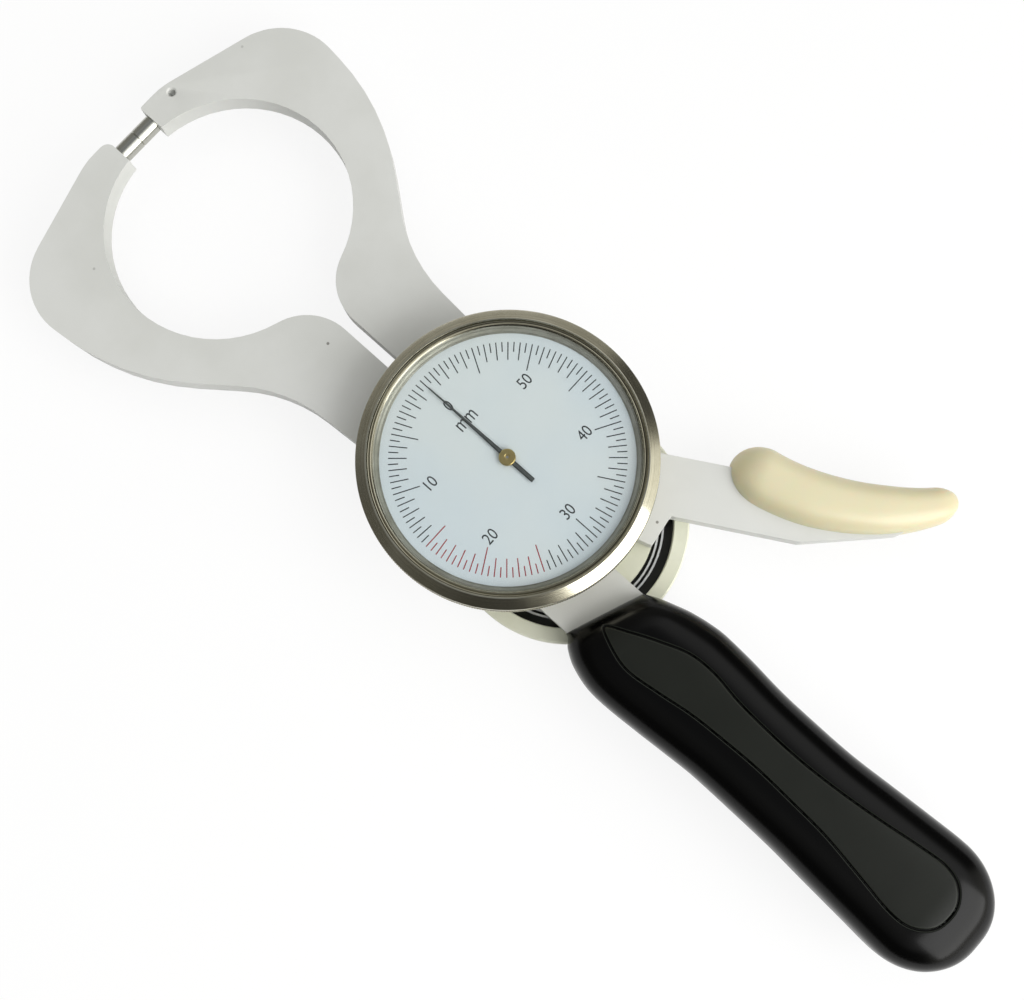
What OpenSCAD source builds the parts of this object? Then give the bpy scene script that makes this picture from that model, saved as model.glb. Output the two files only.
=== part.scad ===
// Dial skinfold caliper. Two C-shaped jaw arms share one pivot, a spring drum behind it
// presses the anvils together, and a geared dial shows the gap between them in millimetres.
// Origin: on the pivot axis, at the back of the pressure knob. +Y points to the jaws, +X to
// the side of the moving arm and its lever, +Z to the dial. Lengths are in millimetres.

/* [Jaw arms] */
// Distance from the pivot to the axis of the two anvils
jaw_reach = 156.3; // [150:0.1:164]
// Height of the flat jaw face that carries an anvil
jaw_face = 8.4; // [8:0.1:9.4]
// Radius of the round throat between the arms
throat_r = 31.6; // [29:0.1:32.4]
// Sideways offset of each throat arc from the middle plane
throat_x = 2.6; // [2:0.1:3.4]
// Width of the band outside the throat, measured to the belly corner
belly_w = 20.2; // [18.6:0.1:22]
// Fillet of the belly corner
belly_fillet = 18.3; // [15:0.1:19]
// Width of an arm where it runs under the dial
root_w = 19.8; // [19:0.1:21.5]
// Gap between the two arms at their roots
root_gap = 3.4; // [3:0.1:4.4]
// Thickness of the fixed plate
plate_t = 6; // [5.4:0.1:7]
// Gap between the moving plate and what lies above and below it
moving_gap = 0.2; // [0.1:0.05:0.3]

/* [Anvils] */
// Diameter of an anvil
anvil_d = 5; // [4:0.1:5.4]
// Length of an anvil outside its jaw face
anvil_len = 6.2; // [5.4:0.1:7]
// Diameter of an anvil's shank
shank_d = 3; // [2.6:0.1:3.4]
// Depth of an anvil's shank in its arm
shank_len = 6; // [4:0.5:7]
// Bore of the hole that the check weight hangs from
weight_bore = 2; // [1.6:0.1:2.2]
// Distance from the anvil's jaw face to the weight hole
weight_inset = 9; // [8:0.1:11]
// Distance from the arm's tip edge to the weight hole
weight_down = 3.2; // [2.6:0.1:5]

/* [Pivot] */
// Diameter of the pivot shaft in its bush
shaft_d = 8; // [7:0.1:9]
// Wall of the bronze bush round the shaft
bush_wall = 1.2; // [0.9:0.1:1.6]
// Radius of the two lapped hub discs
hub_r = 12; // [11:0.1:12.6]
// Thickness of the thrust washer between the hub discs
washer_t = 0.3; // [0.2:0.05:0.5]
// Radial play of a running fit
run_play = 0.05; // [0.02:0.01:0.08]
// Radial play of a pressed or located fit
seat_play = 0.02; // [0.01:0.01:0.04]
// Sideways gap round parts that pass each other
side_gap = 0.5; // [0.3:0.1:0.8]

/* [Lever] */
// How far the lever's upper edge lies out from the pivot where it leaves the dial
lever_out = 28.4; // [27:0.1:30]
// Length of the lever from its upper corner to its tip
lever_len = 52; // [48:0.5:54]
// Radius of the arc that the lever pad follows
pad_bend_r = 67.9; // [63:0.1:73]
// Sweep of that arc in degrees
pad_sweep = 50.1; // [48:0.1:53]
// Half width of the pad seen from the front
pad_half_w = 7.55; // [7:0.05:8.2]
// Half thickness of the pad
pad_half_t = 8.4; // [7:0.1:9.4]

/* [Handle] */
// Distance from the pivot to the heel of the handle
handle_reach = 140; // [136:0.1:148]
// Half thickness of the handle
grip_half_t = 13; // [11.5:0.1:13]
// Half width of the palm swell
palm_half_w = 16.2; // [15.4:0.05:17.4]
// Half width of the waist
waist_half_w = 14.75; // [14:0.05:16]
// Half width of the heel
heel_half_w = 16.85; // [16:0.05:18]
// Squareness of the grip's section: 2 is an ellipse, more is squarer
grip_square = 3.2; // [2.6:0.1:4]
// Width of the groove round the front and back panels
groove_w = 0.9; // [0.6:0.1:1.2]
// Depth of that groove below the crown of the grip
groove_depth = 1.5; // [1.2:0.1:2]
// Width of the tang inside the handle
tang_w = 13; // [11:0.1:14]
// Distance from the pivot to the end of the tang
tang_reach = 128; // [126:0.5:129]
// Diameter of the handle screws
grip_screw_d = 3; // [2.6:0.1:3.4]

/* [Spring drum] */
// Outer radius of the drum
drum_r = 31.2; // [30.8:0.1:32.4]
// Wall of the drum
drum_wall = 3.9; // [3.8:0.1:4.2]
// Height of the drum
drum_h = 6.8; // [6.6:0.1:8]
// Thickness of the drum's back
drum_back_t = 1.4; // [1.2:0.1:1.8]
// Clearance between the spring's innermost coil and the spring hub
hub_clear = 0.27; // [0.2:0.01:0.8]
// Thickness of the spring strip
strip_t = 0.5; // [0.4:0.05:0.55]
// Distance from coil to coil
strip_pitch = 1.2; // [1.15:0.01:1.3]
// Number of turns of the spring
strip_turns = 2.4; // [2.1:0.05:2.45]
// Radius of the pressure knob
knob_r = 17; // [15:0.1:19]
// Thickness of the pressure knob
knob_t = 3; // [2.6:0.1:4]

/* [Dial] */
// Module of the gear sector and the pinion
gear_module = 0.23; // [0.225:0.001:0.235]
// Teeth that the sector would have on a full circle
sector_teeth = 162; // [160:1:164]
// Teeth of the pinion
pinion_teeth = 10; // [10:1:10]
// Outer radius of the dial case
case_r = 35.2; // [34.6:0.1:35.6]
// Wall of the dial case
case_wall = 1.8; // [1.5:0.1:2.2]
// Thickness of the case floor
floor_t = 1.4; // [1.2:0.1:1.8]
// Height of the case
case_h = 10.6; // [9.6:0.1:12]
// How far the bezel's knurled rim stands out from the case
rim_out = 2.6; // [2.4:0.1:3.6]
// Height of the knurled rim
knurl_h = 1.3; // [1.1:0.1:1.8]
// Number of ridges on the knurled rim
knurl_count = 180; // [120:1:200]
// Width of the sloped ring round the dial, from its seat in the bezel to its bore
ring_w = 3.2; // [2.8:0.1:3.6]
// Height of the sloped ring
ring_h = 1.7; // [1.6:0.1:2.4]
// Thickness of the crystal
crystal_t = 1; // [0.9:0.1:1.4]
// Thickness of the dial plate
dial_t = 0.6; // [0.5:0.1:0.8]
// Length of the pointer from its axis to its tip
pointer_len = 26.3; // [24:0.1:28]
// Length of the pointer's tail
pointer_tail = 8.6; // [7:0.1:10]
// Diameter of the pointer's brass boss
boss_d = 4.2; // [3.6:0.1:5]
// Diameter of the pointer arbor
arbor_d = 1.2; // [1:0.05:1.3]

/* [Hidden] */
$fn = 96;

// Finishes, as the photograph shows them
paint = [0.82, 0.82, 0.79];
nickel = [0.74, 0.73, 0.66];
steel = [0.66, 0.67, 0.69];
brass = [0.78, 0.66, 0.36];
bronze = [0.66, 0.48, 0.28];
black = [0.09, 0.09, 0.09];
ivory = [0.88, 0.83, 0.68];

// Heights, from the back of the knob to the top of the bezel
knob_gap = 0.2;
z_drum = knob_t + knob_gap;
z_cavity = z_drum + drum_back_t;
z_plate = z_drum + drum_h;
z_front = z_plate + plate_t;
z_mid = z_plate + plate_t / 2;
z_moving = z_plate + moving_gap;
moving_t = plate_t - 2 * moving_gap;
z_floor = z_front + floor_t;
sector_lift = 1;
sector_t = 1.4;
z_sector = z_floor + sector_lift;
bridge_lift = 1;
bridge_t = 1;
z_bridge = z_sector + sector_t + bridge_lift;
z_rim = z_front + case_h;
z_dial = z_rim + dial_t;
z_crystal = z_dial + ring_h;
crystal_step = 0.4;
z_lip = z_crystal + crystal_t - crystal_step;
lip_t = 0.8;

// Places in plan
root_in = root_gap / 2;
root_out = root_in + root_w;
throat_y = jaw_reach - jaw_face / 2 - sqrt(pow(throat_r, 2) - pow(anvil_len - throat_x, 2));
throat_side = throat_x + throat_r;
dial_y = gear_module * (sector_teeth + pinion_teeth) / 2;
travel = 360 * pinion_teeth / sector_teeth;
grip_aside = 0.4;
grip_x = -(root_in + root_w / 2) - grip_aside;
bush_r = shaft_d / 2 + run_play + bush_wall;
pocket_r = hub_r + side_gap;
drum_bore_r = drum_r - drum_wall;
spring_pin_in = 1.4;
spring_pin_at = drum_bore_r - spring_pin_in;
strip_r_out = spring_pin_at - 0.1;
spring_hub_r = strip_r_out - strip_pitch * strip_turns - strip_t / 2 - hub_clear;
bezel_r = case_r + rim_out;
ring_seat_in = 0.4;
ring_seat_r = case_r - ring_seat_in;
ring_bore_r = ring_seat_r - ring_w;
steps_per_arc = 6;

// ---------------------------------------------------------------- shape functions

function unit(v) = v / norm(v);
function flat(lists) = [for (part = lists) for (p = part) p];
function xy(p) = [p[0], p[1]];
function turn(a) = a > 180 ? a - 360 : a < -180 ? a + 360 : a;

// Points of an arc about c, from angle a0 to a1
function arc(c, r, a0, a1) =
    let (n = max(2, ceil(abs(a1 - a0) / steps_per_arc)))
    [for (i = [0:n]) c + r * [cos(a0 + (a1 - a0) * i / n), sin(a0 + (a1 - a0) * i / n)]];

// A corner p = [x, y, fillet radius] between its neighbours, as points
function corner(before, p, after) =
    p[2] == 0 ? [xy(p)] :
    let (
        u = unit(xy(before) - xy(p)),
        v = unit(xy(after) - xy(p)),
        half = acos(u * v) / 2,
        c = xy(p) + unit(u + v) * p[2] / sin(half),
        s = xy(p) + u * p[2] / tan(half) - c,
        e = xy(p) + v * p[2] / tan(half) - c,
        a0 = atan2(s[1], s[0])
    )
    arc(c, p[2], a0, a0 + turn(atan2(e[1], e[0]) - a0));

// A closed outline from corners, each with its own fillet
function rounded(corners) =
    let (n = len(corners))
    flat([for (i = [0:n - 1]) corner(corners[(i + n - 1) % n], corners[i], corners[(i + 1) % n])]);

// Smooth curve through the stations [position, value], by Hermite steps
function slope_at(table, i) =
    i == 0 || i == len(table) - 1 ? 0 :
    (table[i + 1][1] - table[i - 1][1]) / (table[i + 1][0] - table[i - 1][0]);
function through(table, s, i = 0) =
    s <= table[0][0] ? table[0][1] :
    s >= table[len(table) - 1][0] ? table[len(table) - 1][1] :
    s > table[i + 1][0] ? through(table, s, i + 1) :
    let (
        d = table[i + 1][0] - table[i][0],
        t = (s - table[i][0]) / d,
        m0 = slope_at(table, i) * d,
        m1 = slope_at(table, i + 1) * d
    )
    (2 * t * t * t - 3 * t * t + 1) * table[i][1] + (t * t * t - 2 * t * t + t) * m0
    + (3 * t * t - 2 * t * t * t) * table[i + 1][1] + (t * t * t - t * t) * m1;

// Signed power, for superellipse sections
function bulge(v, n) = sign(v) * pow(abs(v), 2 / n);

// Involute of an angle, in degrees
function involute(a) = (tan(a) - a * PI / 180) * 180 / PI;

module ring(r_out, r_in, h) {
    difference() {
        cylinder(r = r_out, h = h);
        translate([0, 0, -1])
            cylinder(r = r_in, h = h + 2);
    }
}

module slab(points, z0, z1) {
    translate([0, 0, z0])
        linear_extrude(z1 - z0)
            polygon(points);
}

// A countersunk screw with its head at z = 0 and its tip at z = length
module flat_screw(d, head_d, length) {
    head_h = (head_d - d) / 2;
    cylinder(d1 = head_d, d2 = d, h = head_h);
    translate([0, 0, head_h])
        cylinder(d = d, h = length - head_h);
}

// ---------------------------------------------------------------- jaw plates

shoulder = 8.2;
shoulder_fillet = 21;
belly_y = 28.2;
hollow_in = 4.1;
hollow_y = 9.85;
hollow_fillet = 66;
waist_out = 1.8;
waist_y = 44.3;
waist_fillet = 41.5;
crotch_r = 15.1;
root_foot = 50;

// Inner edge of an arm: the round of its root runs without a corner into the throat
crotch_x = root_in + crotch_r;
crotch_y = throat_y - sqrt(pow(throat_r + crotch_r, 2) - pow(crotch_x - throat_x, 2));
meet_a = atan2(crotch_y - throat_y, crotch_x - throat_x);
crotch_arc = arc([crotch_x, crotch_y], crotch_r, 180, 180 + meet_a);
throat_arc = arc([throat_x, throat_y], throat_r, meet_a, acos((anvil_len - throat_x) / throat_r));

// One arm on the +X side, from the jaw face round to its straight root
function arm_outline(y_end, tip_fillet) = rounded(concat(
    [
        [anvil_len, jaw_reach + jaw_face / 2, tip_fillet],
        [anvil_len + shoulder, jaw_reach + jaw_face / 2, shoulder_fillet],
        [throat_side + belly_w, throat_y + belly_y, belly_fillet],
        [throat_side + belly_w - hollow_in, throat_y - hollow_y, hollow_fillet],
        [root_out + waist_out, throat_y - waist_y, waist_fillet],
        [root_out, root_foot, 0],
        [root_out, y_end, 0],
        [root_in, y_end, 0]
    ],
    [for (p = crotch_arc) [p[0], p[1], 0]],
    [for (i = [1:len(throat_arc) - 1]) [throat_arc[i][0], throat_arc[i][1], 0]]
));

fixed_tip = 2.6;
moving_tip = 0.8;

// Hole for an anvil's shank, on the +X side
module shank_hole() {
    translate([anvil_len - 1, jaw_reach, z_mid])
        rotate([0, 90, 0])
            cylinder(d = shank_d + 2 * seat_play, h = shank_len + 1.3);
}

module anvil() {
    translate([0, jaw_reach, z_mid])
        rotate([0, 90, 0]) {
            cylinder(d = anvil_d, h = anvil_len);
            cylinder(d = shank_d, h = anvil_len + shank_len);
        }
}

// Places of the screws that hold the dial case: all lie in the root of the fixed plate, the
// upper and the lower one a set distance inside the case's rim
case_screw_d = 2.5;
case_head_d = 4.8;
case_top_in = 9.2;
case_foot_in = 9.02;
case_spots = [
    [-(root_in + root_w / 2), dial_y + case_r - case_top_in],
    [-(root_out - 4.4), dial_y - 3.6],
    [-(root_out - 7), dial_y - case_r + case_foot_in]
];

// Places of the screws that hold the drum: on the drum's wall, under the fixed plate
drum_screw_d = 2;
drum_head_d = 3.2;
drum_screw_depth = 3.4;
drum_spots = [
    for (a = [108, 128, 248])
        (drum_r - drum_wall / 2) * [cos(a), sin(a)]
];

tang_shoulder = 33;
tang_x0 = grip_x - tang_w / 2;
tang_x1 = grip_x + tang_w / 2;
tang_outline = rounded([
    [-root_out, 0, 0],
    [-root_out, -tang_shoulder, 2],
    [tang_x0, -tang_shoulder, 2],
    [tang_x0, -tang_reach, 5],
    [tang_x1, -tang_reach, 5],
    [tang_x1, -tang_shoulder, 2],
    [-root_in, -tang_shoulder, 2],
    [-root_in, 0, 0]
]);
grip_spots = [for (y = [-46, -84, -121]) [grip_x, y]];

module fixed_plate() {
    color(paint)
        difference() {
            union() {
                mirror([1, 0, 0])
                    slab(arm_outline(-1, fixed_tip), z_plate, z_front);
                slab(tang_outline, z_plate, z_front);
                translate([0, 0, z_mid + washer_t / 2])
                    cylinder(r = hub_r, h = plate_t / 2 - washer_t / 2);
            }
            // pocket for the moving hub disc
            translate([0, 0, z_plate - 1])
                cylinder(r = pocket_r, h = plate_t / 2 + washer_t / 2 + 1);
            translate([0, 0, z_mid])
                cylinder(r = bush_r + seat_play, h = plate_t);
            mirror([1, 0, 0])
                shank_hole();
            for (s = case_spots)
                translate([s[0], s[1], z_plate]) {
                    translate([0, 0, -0.1])
                        cylinder(d1 = case_head_d + 0.4, d2 = case_screw_d,
                                 h = (case_head_d - case_screw_d) / 2 + 0.1);
                    cylinder(d = case_screw_d + 0.2, h = plate_t + 1);
                }
            for (s = drum_spots)
                translate([s[0], s[1], z_plate - 1])
                    cylinder(d = drum_screw_d + 2 * seat_play, h = drum_screw_depth + 1.3);
            for (s = grip_spots)
                translate([s[0], s[1], z_plate - 1])
                    cylinder(d = grip_screw_d + 0.4, h = plate_t + 2);
        }
}

module fixed_anvil() {
    color(steel)
        mirror([1, 0, 0])
            anvil();
}

// The lever, from the hub to the tip that the pad covers
lever_low = [34.2, -47.25];
lever_dir = unit([1, -1]);
lever_tip = lever_low + lever_dir * (lever_len - 27);
lever_outline = rounded([
    [root_out, root_foot, 0],
    [root_out, 9, 14],
    [lever_out, -6.9, 30],
    [37.2, -21.9, 12],
    [46.6, -39, 40],
    [59.6, -59.4, 2.5],
    [lever_tip[0] + 1.4, lever_tip[1] - 0.6, 2.5],
    [lever_low[0], lever_low[1], 1.5],
    [17.7, -19, 0.5],
    [8.9, -20.4, 0.6],
    [7.9, -17.2, 0],
    [7.9, -6, 0],
    [root_in, 2, 0],
    [root_in, root_foot, 0]
]);

spring_pin_r = 0.6;
spring_pin_a = -40;
pad_screw_d = 2.2;
pad_spots = [[43.4, -38.4], [53.2, -55.6]];
weight_spot = [anvil_len + weight_inset, jaw_reach + jaw_face / 2 - weight_down];

module moving_plate() {
    z_top = z_moving + moving_t;
    color(paint)
        difference() {
            union() {
                slab(arm_outline(root_foot - 1, moving_tip), z_moving, z_top);
                slab(lever_outline, z_moving, z_top);
                translate([0, 0, z_moving])
                    cylinder(r = hub_r, h = z_mid - washer_t / 2 - z_moving);
            }
            // pocket for the fixed hub disc
            translate([0, 0, z_mid - washer_t / 2])
                cylinder(r = pocket_r, h = plate_t);
            translate([0, 0, z_moving - 1])
                cylinder(r = bush_r + seat_play, h = plate_t);
            shank_hole();
            translate([weight_spot[0], weight_spot[1], z_moving - 1])
                cylinder(d = weight_bore, h = moving_t + 2);
            for (z = [z_moving, z_top])
                translate([weight_spot[0], weight_spot[1], z])
                    rotate([z == z_top ? 180 : 0, 0, 0])
                        translate([0, 0, -0.1])
                            cylinder(d1 = weight_bore + 1.1, d2 = weight_bore - 0.1, h = 0.6);
            rotate([0, 0, spring_pin_a])
                translate([spring_pin_at, 0, z_moving - 1])
                    cylinder(r = spring_pin_r + seat_play, h = 3.2);
            for (s = pad_spots)
                translate([s[0], s[1], z_moving - 1])
                    cylinder(d = pad_screw_d + 0.3, h = moving_t + 2);
        }
}

module moving_anvil() {
    color(steel)
        anvil();
}

// ---------------------------------------------------------------- pivot

shaft_tail = 3;
clip_groove = 0.5;
clip_t = 0.5;
sector_seat_d = 5;
stud_d = 4;
nut_h = 1.6;
nut_across = 7;

module pivot_bush() {
    color(bronze)
        translate([0, 0, z_mid + washer_t / 2])
            ring(bush_r, shaft_d / 2 + run_play, plate_t / 2 - washer_t / 2);
}

// Turned steel shaft: tail in the spring hub, collar in the moving hub, journal in the bush,
// stepped end for the gear sector and its nut
module pivot_shaft() {
    z_tail = z_cavity + 0.6;
    color(steel)
        difference() {
            union() {
                translate([0, 0, z_tail])
                    cylinder(d = shaft_d, h = z_front - z_tail);
                translate([0, 0, z_moving])
                    cylinder(r = bush_r, h = z_mid - washer_t / 2 - z_moving);
                translate([0, 0, z_front])
                    cylinder(d = shaft_d - 2, h = z_sector - z_front);
                translate([0, 0, z_sector])
                    cylinder(d = sector_seat_d, h = sector_t);
                translate([0, 0, z_sector + sector_t])
                    cylinder(d = stud_d, h = nut_h + 0.4);
            }
            translate([0, 0, z_tail + 0.6])
                ring(shaft_d / 2 + 1, shaft_d / 2 - clip_groove, clip_t + 2 * seat_play);
        }
}

module shaft_clip() {
    z = z_cavity + 1.2 + seat_play;
    color(steel)
        translate([0, 0, z])
            difference() {
                ring(shaft_d / 2 + 1.3, shaft_d / 2 - clip_groove + seat_play, clip_t);
                translate([0, -1.2, -1])
                    cube([shaft_d, 2.4, clip_t + 2]);
            }
}

module thrust_washer() {
    color(bronze)
        translate([0, 0, z_mid - washer_t / 2])
            ring(hub_r - 1, shaft_d / 2 + run_play, washer_t);
}

// ---------------------------------------------------------------- gears

pressure_angle = 28;
tooth_play = 0.015;
sector_add = 0.95;
pinion_add = 1;
dedendum = 1.3;
pitch_r_sector = gear_module * sector_teeth / 2;
pitch_r_pinion = gear_module * pinion_teeth / 2;

// Half angle of a tooth at radius r, with its flanks a little thinned
function half_tooth(r, teeth) =
    let (
        rp = gear_module * teeth / 2,
        rb = rp * cos(pressure_angle),
        at = max(r, rb),
        a = acos(rb / at)
    )
    90 / teeth - tooth_play / rp * 180 / PI + involute(pressure_angle) - involute(a);

// One tooth as points from its right root to its left root
function tooth(a, teeth, addendum) =
    let (
        rp = gear_module * teeth / 2,
        r0 = rp - dedendum * gear_module,
        r1 = rp + addendum * gear_module,
        radii = [for (i = [0:4]) r0 + (r1 - r0) * i / 4]
    )
    concat(
        [for (r = radii) r * [cos(a - half_tooth(r, teeth)), sin(a - half_tooth(r, teeth))]],
        [for (i = [4:-1:0]) let (r = radii[i])
            r * [cos(a + half_tooth(r, teeth)), sin(a + half_tooth(r, teeth))]]
    );

sector_first = -3;
sector_last = ceil(travel * sector_teeth / 360) + 3;
sector_hub_r = 5;

module gear_sector() {
    pitch_a = 360 / sector_teeth;
    a0 = 90 + (sector_first - 0.5) * pitch_a;
    a1 = 90 + (sector_last + 0.5) * pitch_a;
    root_r = pitch_r_sector - dedendum * gear_module;
    rim = 2.4;
    rim_points = concat(
        arc([0, 0], root_r - rim, a1, a0),
        flat([
            for (i = [sector_first:sector_last])
                tooth(90 + i * pitch_a, sector_teeth, sector_add)
        ])
    );
    spoke_points = [
        3.4 * [cos(a0 - 30), sin(a0 - 30)],
        (root_r - 1) * [cos(a0 + 0.3), sin(a0 + 0.3)],
        (root_r - 1) * [cos(a1 - 0.3), sin(a1 - 0.3)],
        3.4 * [cos(a1 + 30), sin(a1 + 30)]
    ];
    color(brass)
        difference() {
            union() {
                slab(rim_points, z_sector, z_sector + sector_t);
                slab(spoke_points, z_sector, z_sector + sector_t);
                translate([0, 0, z_sector])
                    cylinder(r = sector_hub_r, h = sector_t);
            }
            translate([0, 0, z_sector - 1])
                cylinder(d = sector_seat_d + 2 * seat_play, h = sector_t + 2);
            rotate([0, 0, (a0 + a1) / 2])
                translate([(sector_hub_r + root_r - rim) / 2 + 0.4, 0, z_sector - 1])
                    cylinder(r = 2, h = sector_t + 2);
        }
}

module sector_nut() {
    color(steel)
        translate([0, 0, z_sector + sector_t])
            difference() {
                cylinder(d = nut_across / cos(30), h = nut_h, $fn = 6);
                translate([0, 0, -1])
                    cylinder(d = stud_d + 2 * seat_play, h = nut_h + 2);
            }
}

arbor_foot_d = 0.9;
arbor_bush_r = 1.6;

module pointer_arbor() {
    pinion_h = sector_t + 0.6;
    z_pinion = z_sector - 0.3;
    points = flat([
        for (i = [0:pinion_teeth - 1])
            tooth(-90 + (i + 0.5) * 360 / pinion_teeth, pinion_teeth, pinion_add)
    ]);
    color(steel)
        translate([0, dial_y, 0]) {
            slab(points, z_pinion, z_pinion + pinion_h);
            translate([0, 0, z_pinion])
                cylinder(d = arbor_d, h = z_dial + 1.2 - z_pinion);
            translate([0, 0, z_front + 0.5])
                cylinder(d = arbor_foot_d, h = z_pinion - z_front);
        }
}

module arbor_bush() {
    color(brass)
        translate([0, dial_y, z_front + 0.3])
            difference() {
                cylinder(r = arbor_bush_r, h = z_floor - z_front);
                translate([0, 0, -1])
                    cylinder(d = arbor_foot_d + 2 * run_play, h = floor_t + 2);
            }
}

// ---------------------------------------------------------------- dial case and movement

post_spots = [[-11, dial_y + 8], [11, dial_y + 8]];
post_r = 2;
bridge_screw_d = 1.4;
boss_h = 3;
snap_d = 0.9;
skirt_drop = 4.4;
z_skirt = z_rim - skirt_drop;
z_snap = z_skirt + 1.2;

module dial_case() {
    color(nickel)
        difference() {
            union() {
                translate([0, dial_y, z_front])
                    cylinder(r = case_r, h = case_h);
            }
            translate([0, dial_y, z_floor])
                cylinder(r = case_r - case_wall, h = case_h);
            translate([0, 0, z_front - 1])
                cylinder(d = shaft_d - 2 + 0.6, h = floor_t + 2);
            translate([0, dial_y, z_front - 1])
                cylinder(r = arbor_bush_r + seat_play, h = floor_t + 2);
            for (s = case_spots)
                translate([s[0], s[1], z_front - 1])
                    cylinder(d = case_screw_d + 2 * seat_play, h = floor_t + 2);
            for (s = post_spots)
                translate([s[0], s[1], z_front - 1])
                    cylinder(d = bridge_screw_d + 2 * seat_play, h = floor_t + 2);
            translate([0, dial_y, z_snap])
                rotate_extrude()
                    translate([case_r, 0])
                        circle(d = snap_d, $fn = 24);
        }
}

// Countersunk from the back of the fixed plate, each with its nut on the case floor
module case_screws() {
    tip = plate_t + floor_t + 2.2;
    color(steel)
        for (s = case_spots)
            translate([s[0], s[1], 0]) {
                translate([0, 0, z_plate])
                    flat_screw(case_screw_d, case_head_d, tip);
                translate([0, 0, z_floor])
                    ring(2.3, case_screw_d / 2 - 0.1, 1.6);
            }
}

module bridge_posts() {
    color(brass)
        for (s = post_spots)
            translate([s[0], s[1], z_floor])
                ring(post_r, bridge_screw_d / 2 + seat_play, z_bridge - z_floor);
}

module movement_bridge() {
    w = post_r + 0.8;
    p = post_spots[1];
    outline = rounded([
        [-p[0] - w, p[1] + w, w],
        [p[0] + w, p[1] + w, w],
        [p[0] + w, p[1] - w, 1.6],
        [3, dial_y - 3, 3],
        [-3, dial_y - 3, 3],
        [-p[0] - w, p[1] - w, 1.6]
    ]);
    color(brass)
        difference() {
            slab(outline, z_bridge, z_bridge + bridge_t);
            translate([0, dial_y, z_bridge - 1])
                cylinder(d = arbor_d + 2 * run_play, h = bridge_t + 2);
            for (s = post_spots)
                translate([s[0], s[1], z_bridge - 1])
                    cylinder(d = bridge_screw_d + 2 * seat_play, h = bridge_t + 2);
        }
}

module bridge_screws() {
    color(steel)
        for (s = post_spots)
            translate([s[0], s[1], 0]) {
                translate([0, 0, z_front + 0.2])
                    cylinder(d = bridge_screw_d, h = z_bridge + bridge_t - z_front);
                difference() {
                    translate([0, 0, z_bridge + bridge_t])
                        cylinder(r = post_r - 0.3, h = 0.9);
                    translate([-0.2, -post_r, z_bridge + bridge_t + 0.5])
                        cube([0.4, 2 * post_r, 1]);
                }
            }
}

// Open spring wire that keeps the bezel on the case: it fills the groove of both
module bezel_snap_ring() {
    color(steel)
        translate([0, dial_y, z_snap])
            rotate([0, 0, 8])
                rotate_extrude(angle = 344)
                    translate([case_r, 0])
                        circle(d = snap_d - 4 * seat_play, $fn = 24);
}

// ---------------------------------------------------------------- bezel group

bezel_play = 0.12;
skirt_bore = case_r + bezel_play;
z_knurl = z_dial - 2.7;
knurl_depth = 0.3;
lip_r = ring_bore_r + 1.3;

// Skirt, knurled flange, upright wall, rounded crown and a fine bead round the crystal
module bezel_ring() {
    wall_r = bezel_r - 0.45;
    flange_r = bezel_r - knurl_depth - 0.08;
    crown_r = lip_r + 1.5;
    z_wall = z_knurl + knurl_h + 2.2;
    body = concat(
        [
            [skirt_bore, z_skirt],
            [wall_r - 0.6, z_skirt],
            [wall_r - 0.4, z_knurl],
            [flange_r, z_knurl],
            [flange_r, z_knurl + knurl_h],
            [wall_r, z_knurl + knurl_h]
        ],
        [
            for (i = [0:9])
                let (a = 10 * i)
                [crown_r + (wall_r - 0.1 - crown_r) * cos(a),
                 z_wall + (z_lip + lip_t - z_wall) * sin(a)]
        ],
        [
            [lip_r + 0.8, z_lip + 0.35],
            [lip_r + 0.5, z_lip + 0.35],
            [lip_r + 0.3, z_lip + 0.6],
            [lip_r + 0.1, z_lip + 0.6],
            [lip_r, z_lip + 0.5],
            [lip_r, z_lip],
            [ring_seat_r, z_lip],
            [ring_seat_r, z_dial],
            [skirt_bore, z_dial]
        ]
    );
    color(nickel)
        translate([0, dial_y, 0])
            difference() {
                union() {
                    rotate_extrude()
                        polygon(body);
                    translate([0, 0, z_knurl + 0.15])
                        linear_extrude(knurl_h - 0.3)
                            difference() {
                                polygon([
                                    for (i = [0:2 * knurl_count - 1])
                                        let (r = bezel_r - (i % 2) * knurl_depth)
                                        r * [cos(180 * i / knurl_count), sin(180 * i / knurl_count)]
                                ]);
                                circle(r = skirt_bore + 0.4);
                            }
                }
                translate([0, 0, z_snap])
                    rotate_extrude()
                        translate([case_r, 0])
                            circle(d = snap_d + 2 * bezel_play, $fn = 24);
            }
}

module crystal() {
    r = ring_seat_r - seat_play;
    color([0.85, 0.92, 0.95, 0.35])
        translate([0, dial_y, 0])
            rotate_extrude()
                polygon([
                    [0, z_crystal],
                    [r, z_crystal],
                    [r, z_lip],
                    [lip_r - 0.1, z_lip],
                    [lip_r - 0.1, z_lip + crystal_step - 0.2],
                    [lip_r - 0.4, z_lip + crystal_step],
                    [0, z_lip + crystal_step]
                ]);
}

// Sloped metal ring between the dial plate and the crystal
module sloped_ring() {
    r = ring_seat_r - seat_play;
    color(nickel)
        translate([0, dial_y, 0])
            rotate_extrude()
                polygon([
                    [ring_bore_r, z_dial],
                    [r, z_dial],
                    [r, z_crystal],
                    [ring_bore_r + 1.4, z_crystal],
                    [ring_bore_r + 0.5, z_dial + 0.6],
                    [ring_bore_r, z_dial + 0.3]
                ]);
}

module dial_plate() {
    color([0.86, 0.89, 0.91])
        translate([0, dial_y, z_rim])
            ring(case_r - 0.1, arbor_d / 2 + 0.4, dial_t);
}

// ---------------------------------------------------------------- pointer

pointer_t = 0.25;
pointer_lift = 0.7;

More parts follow.
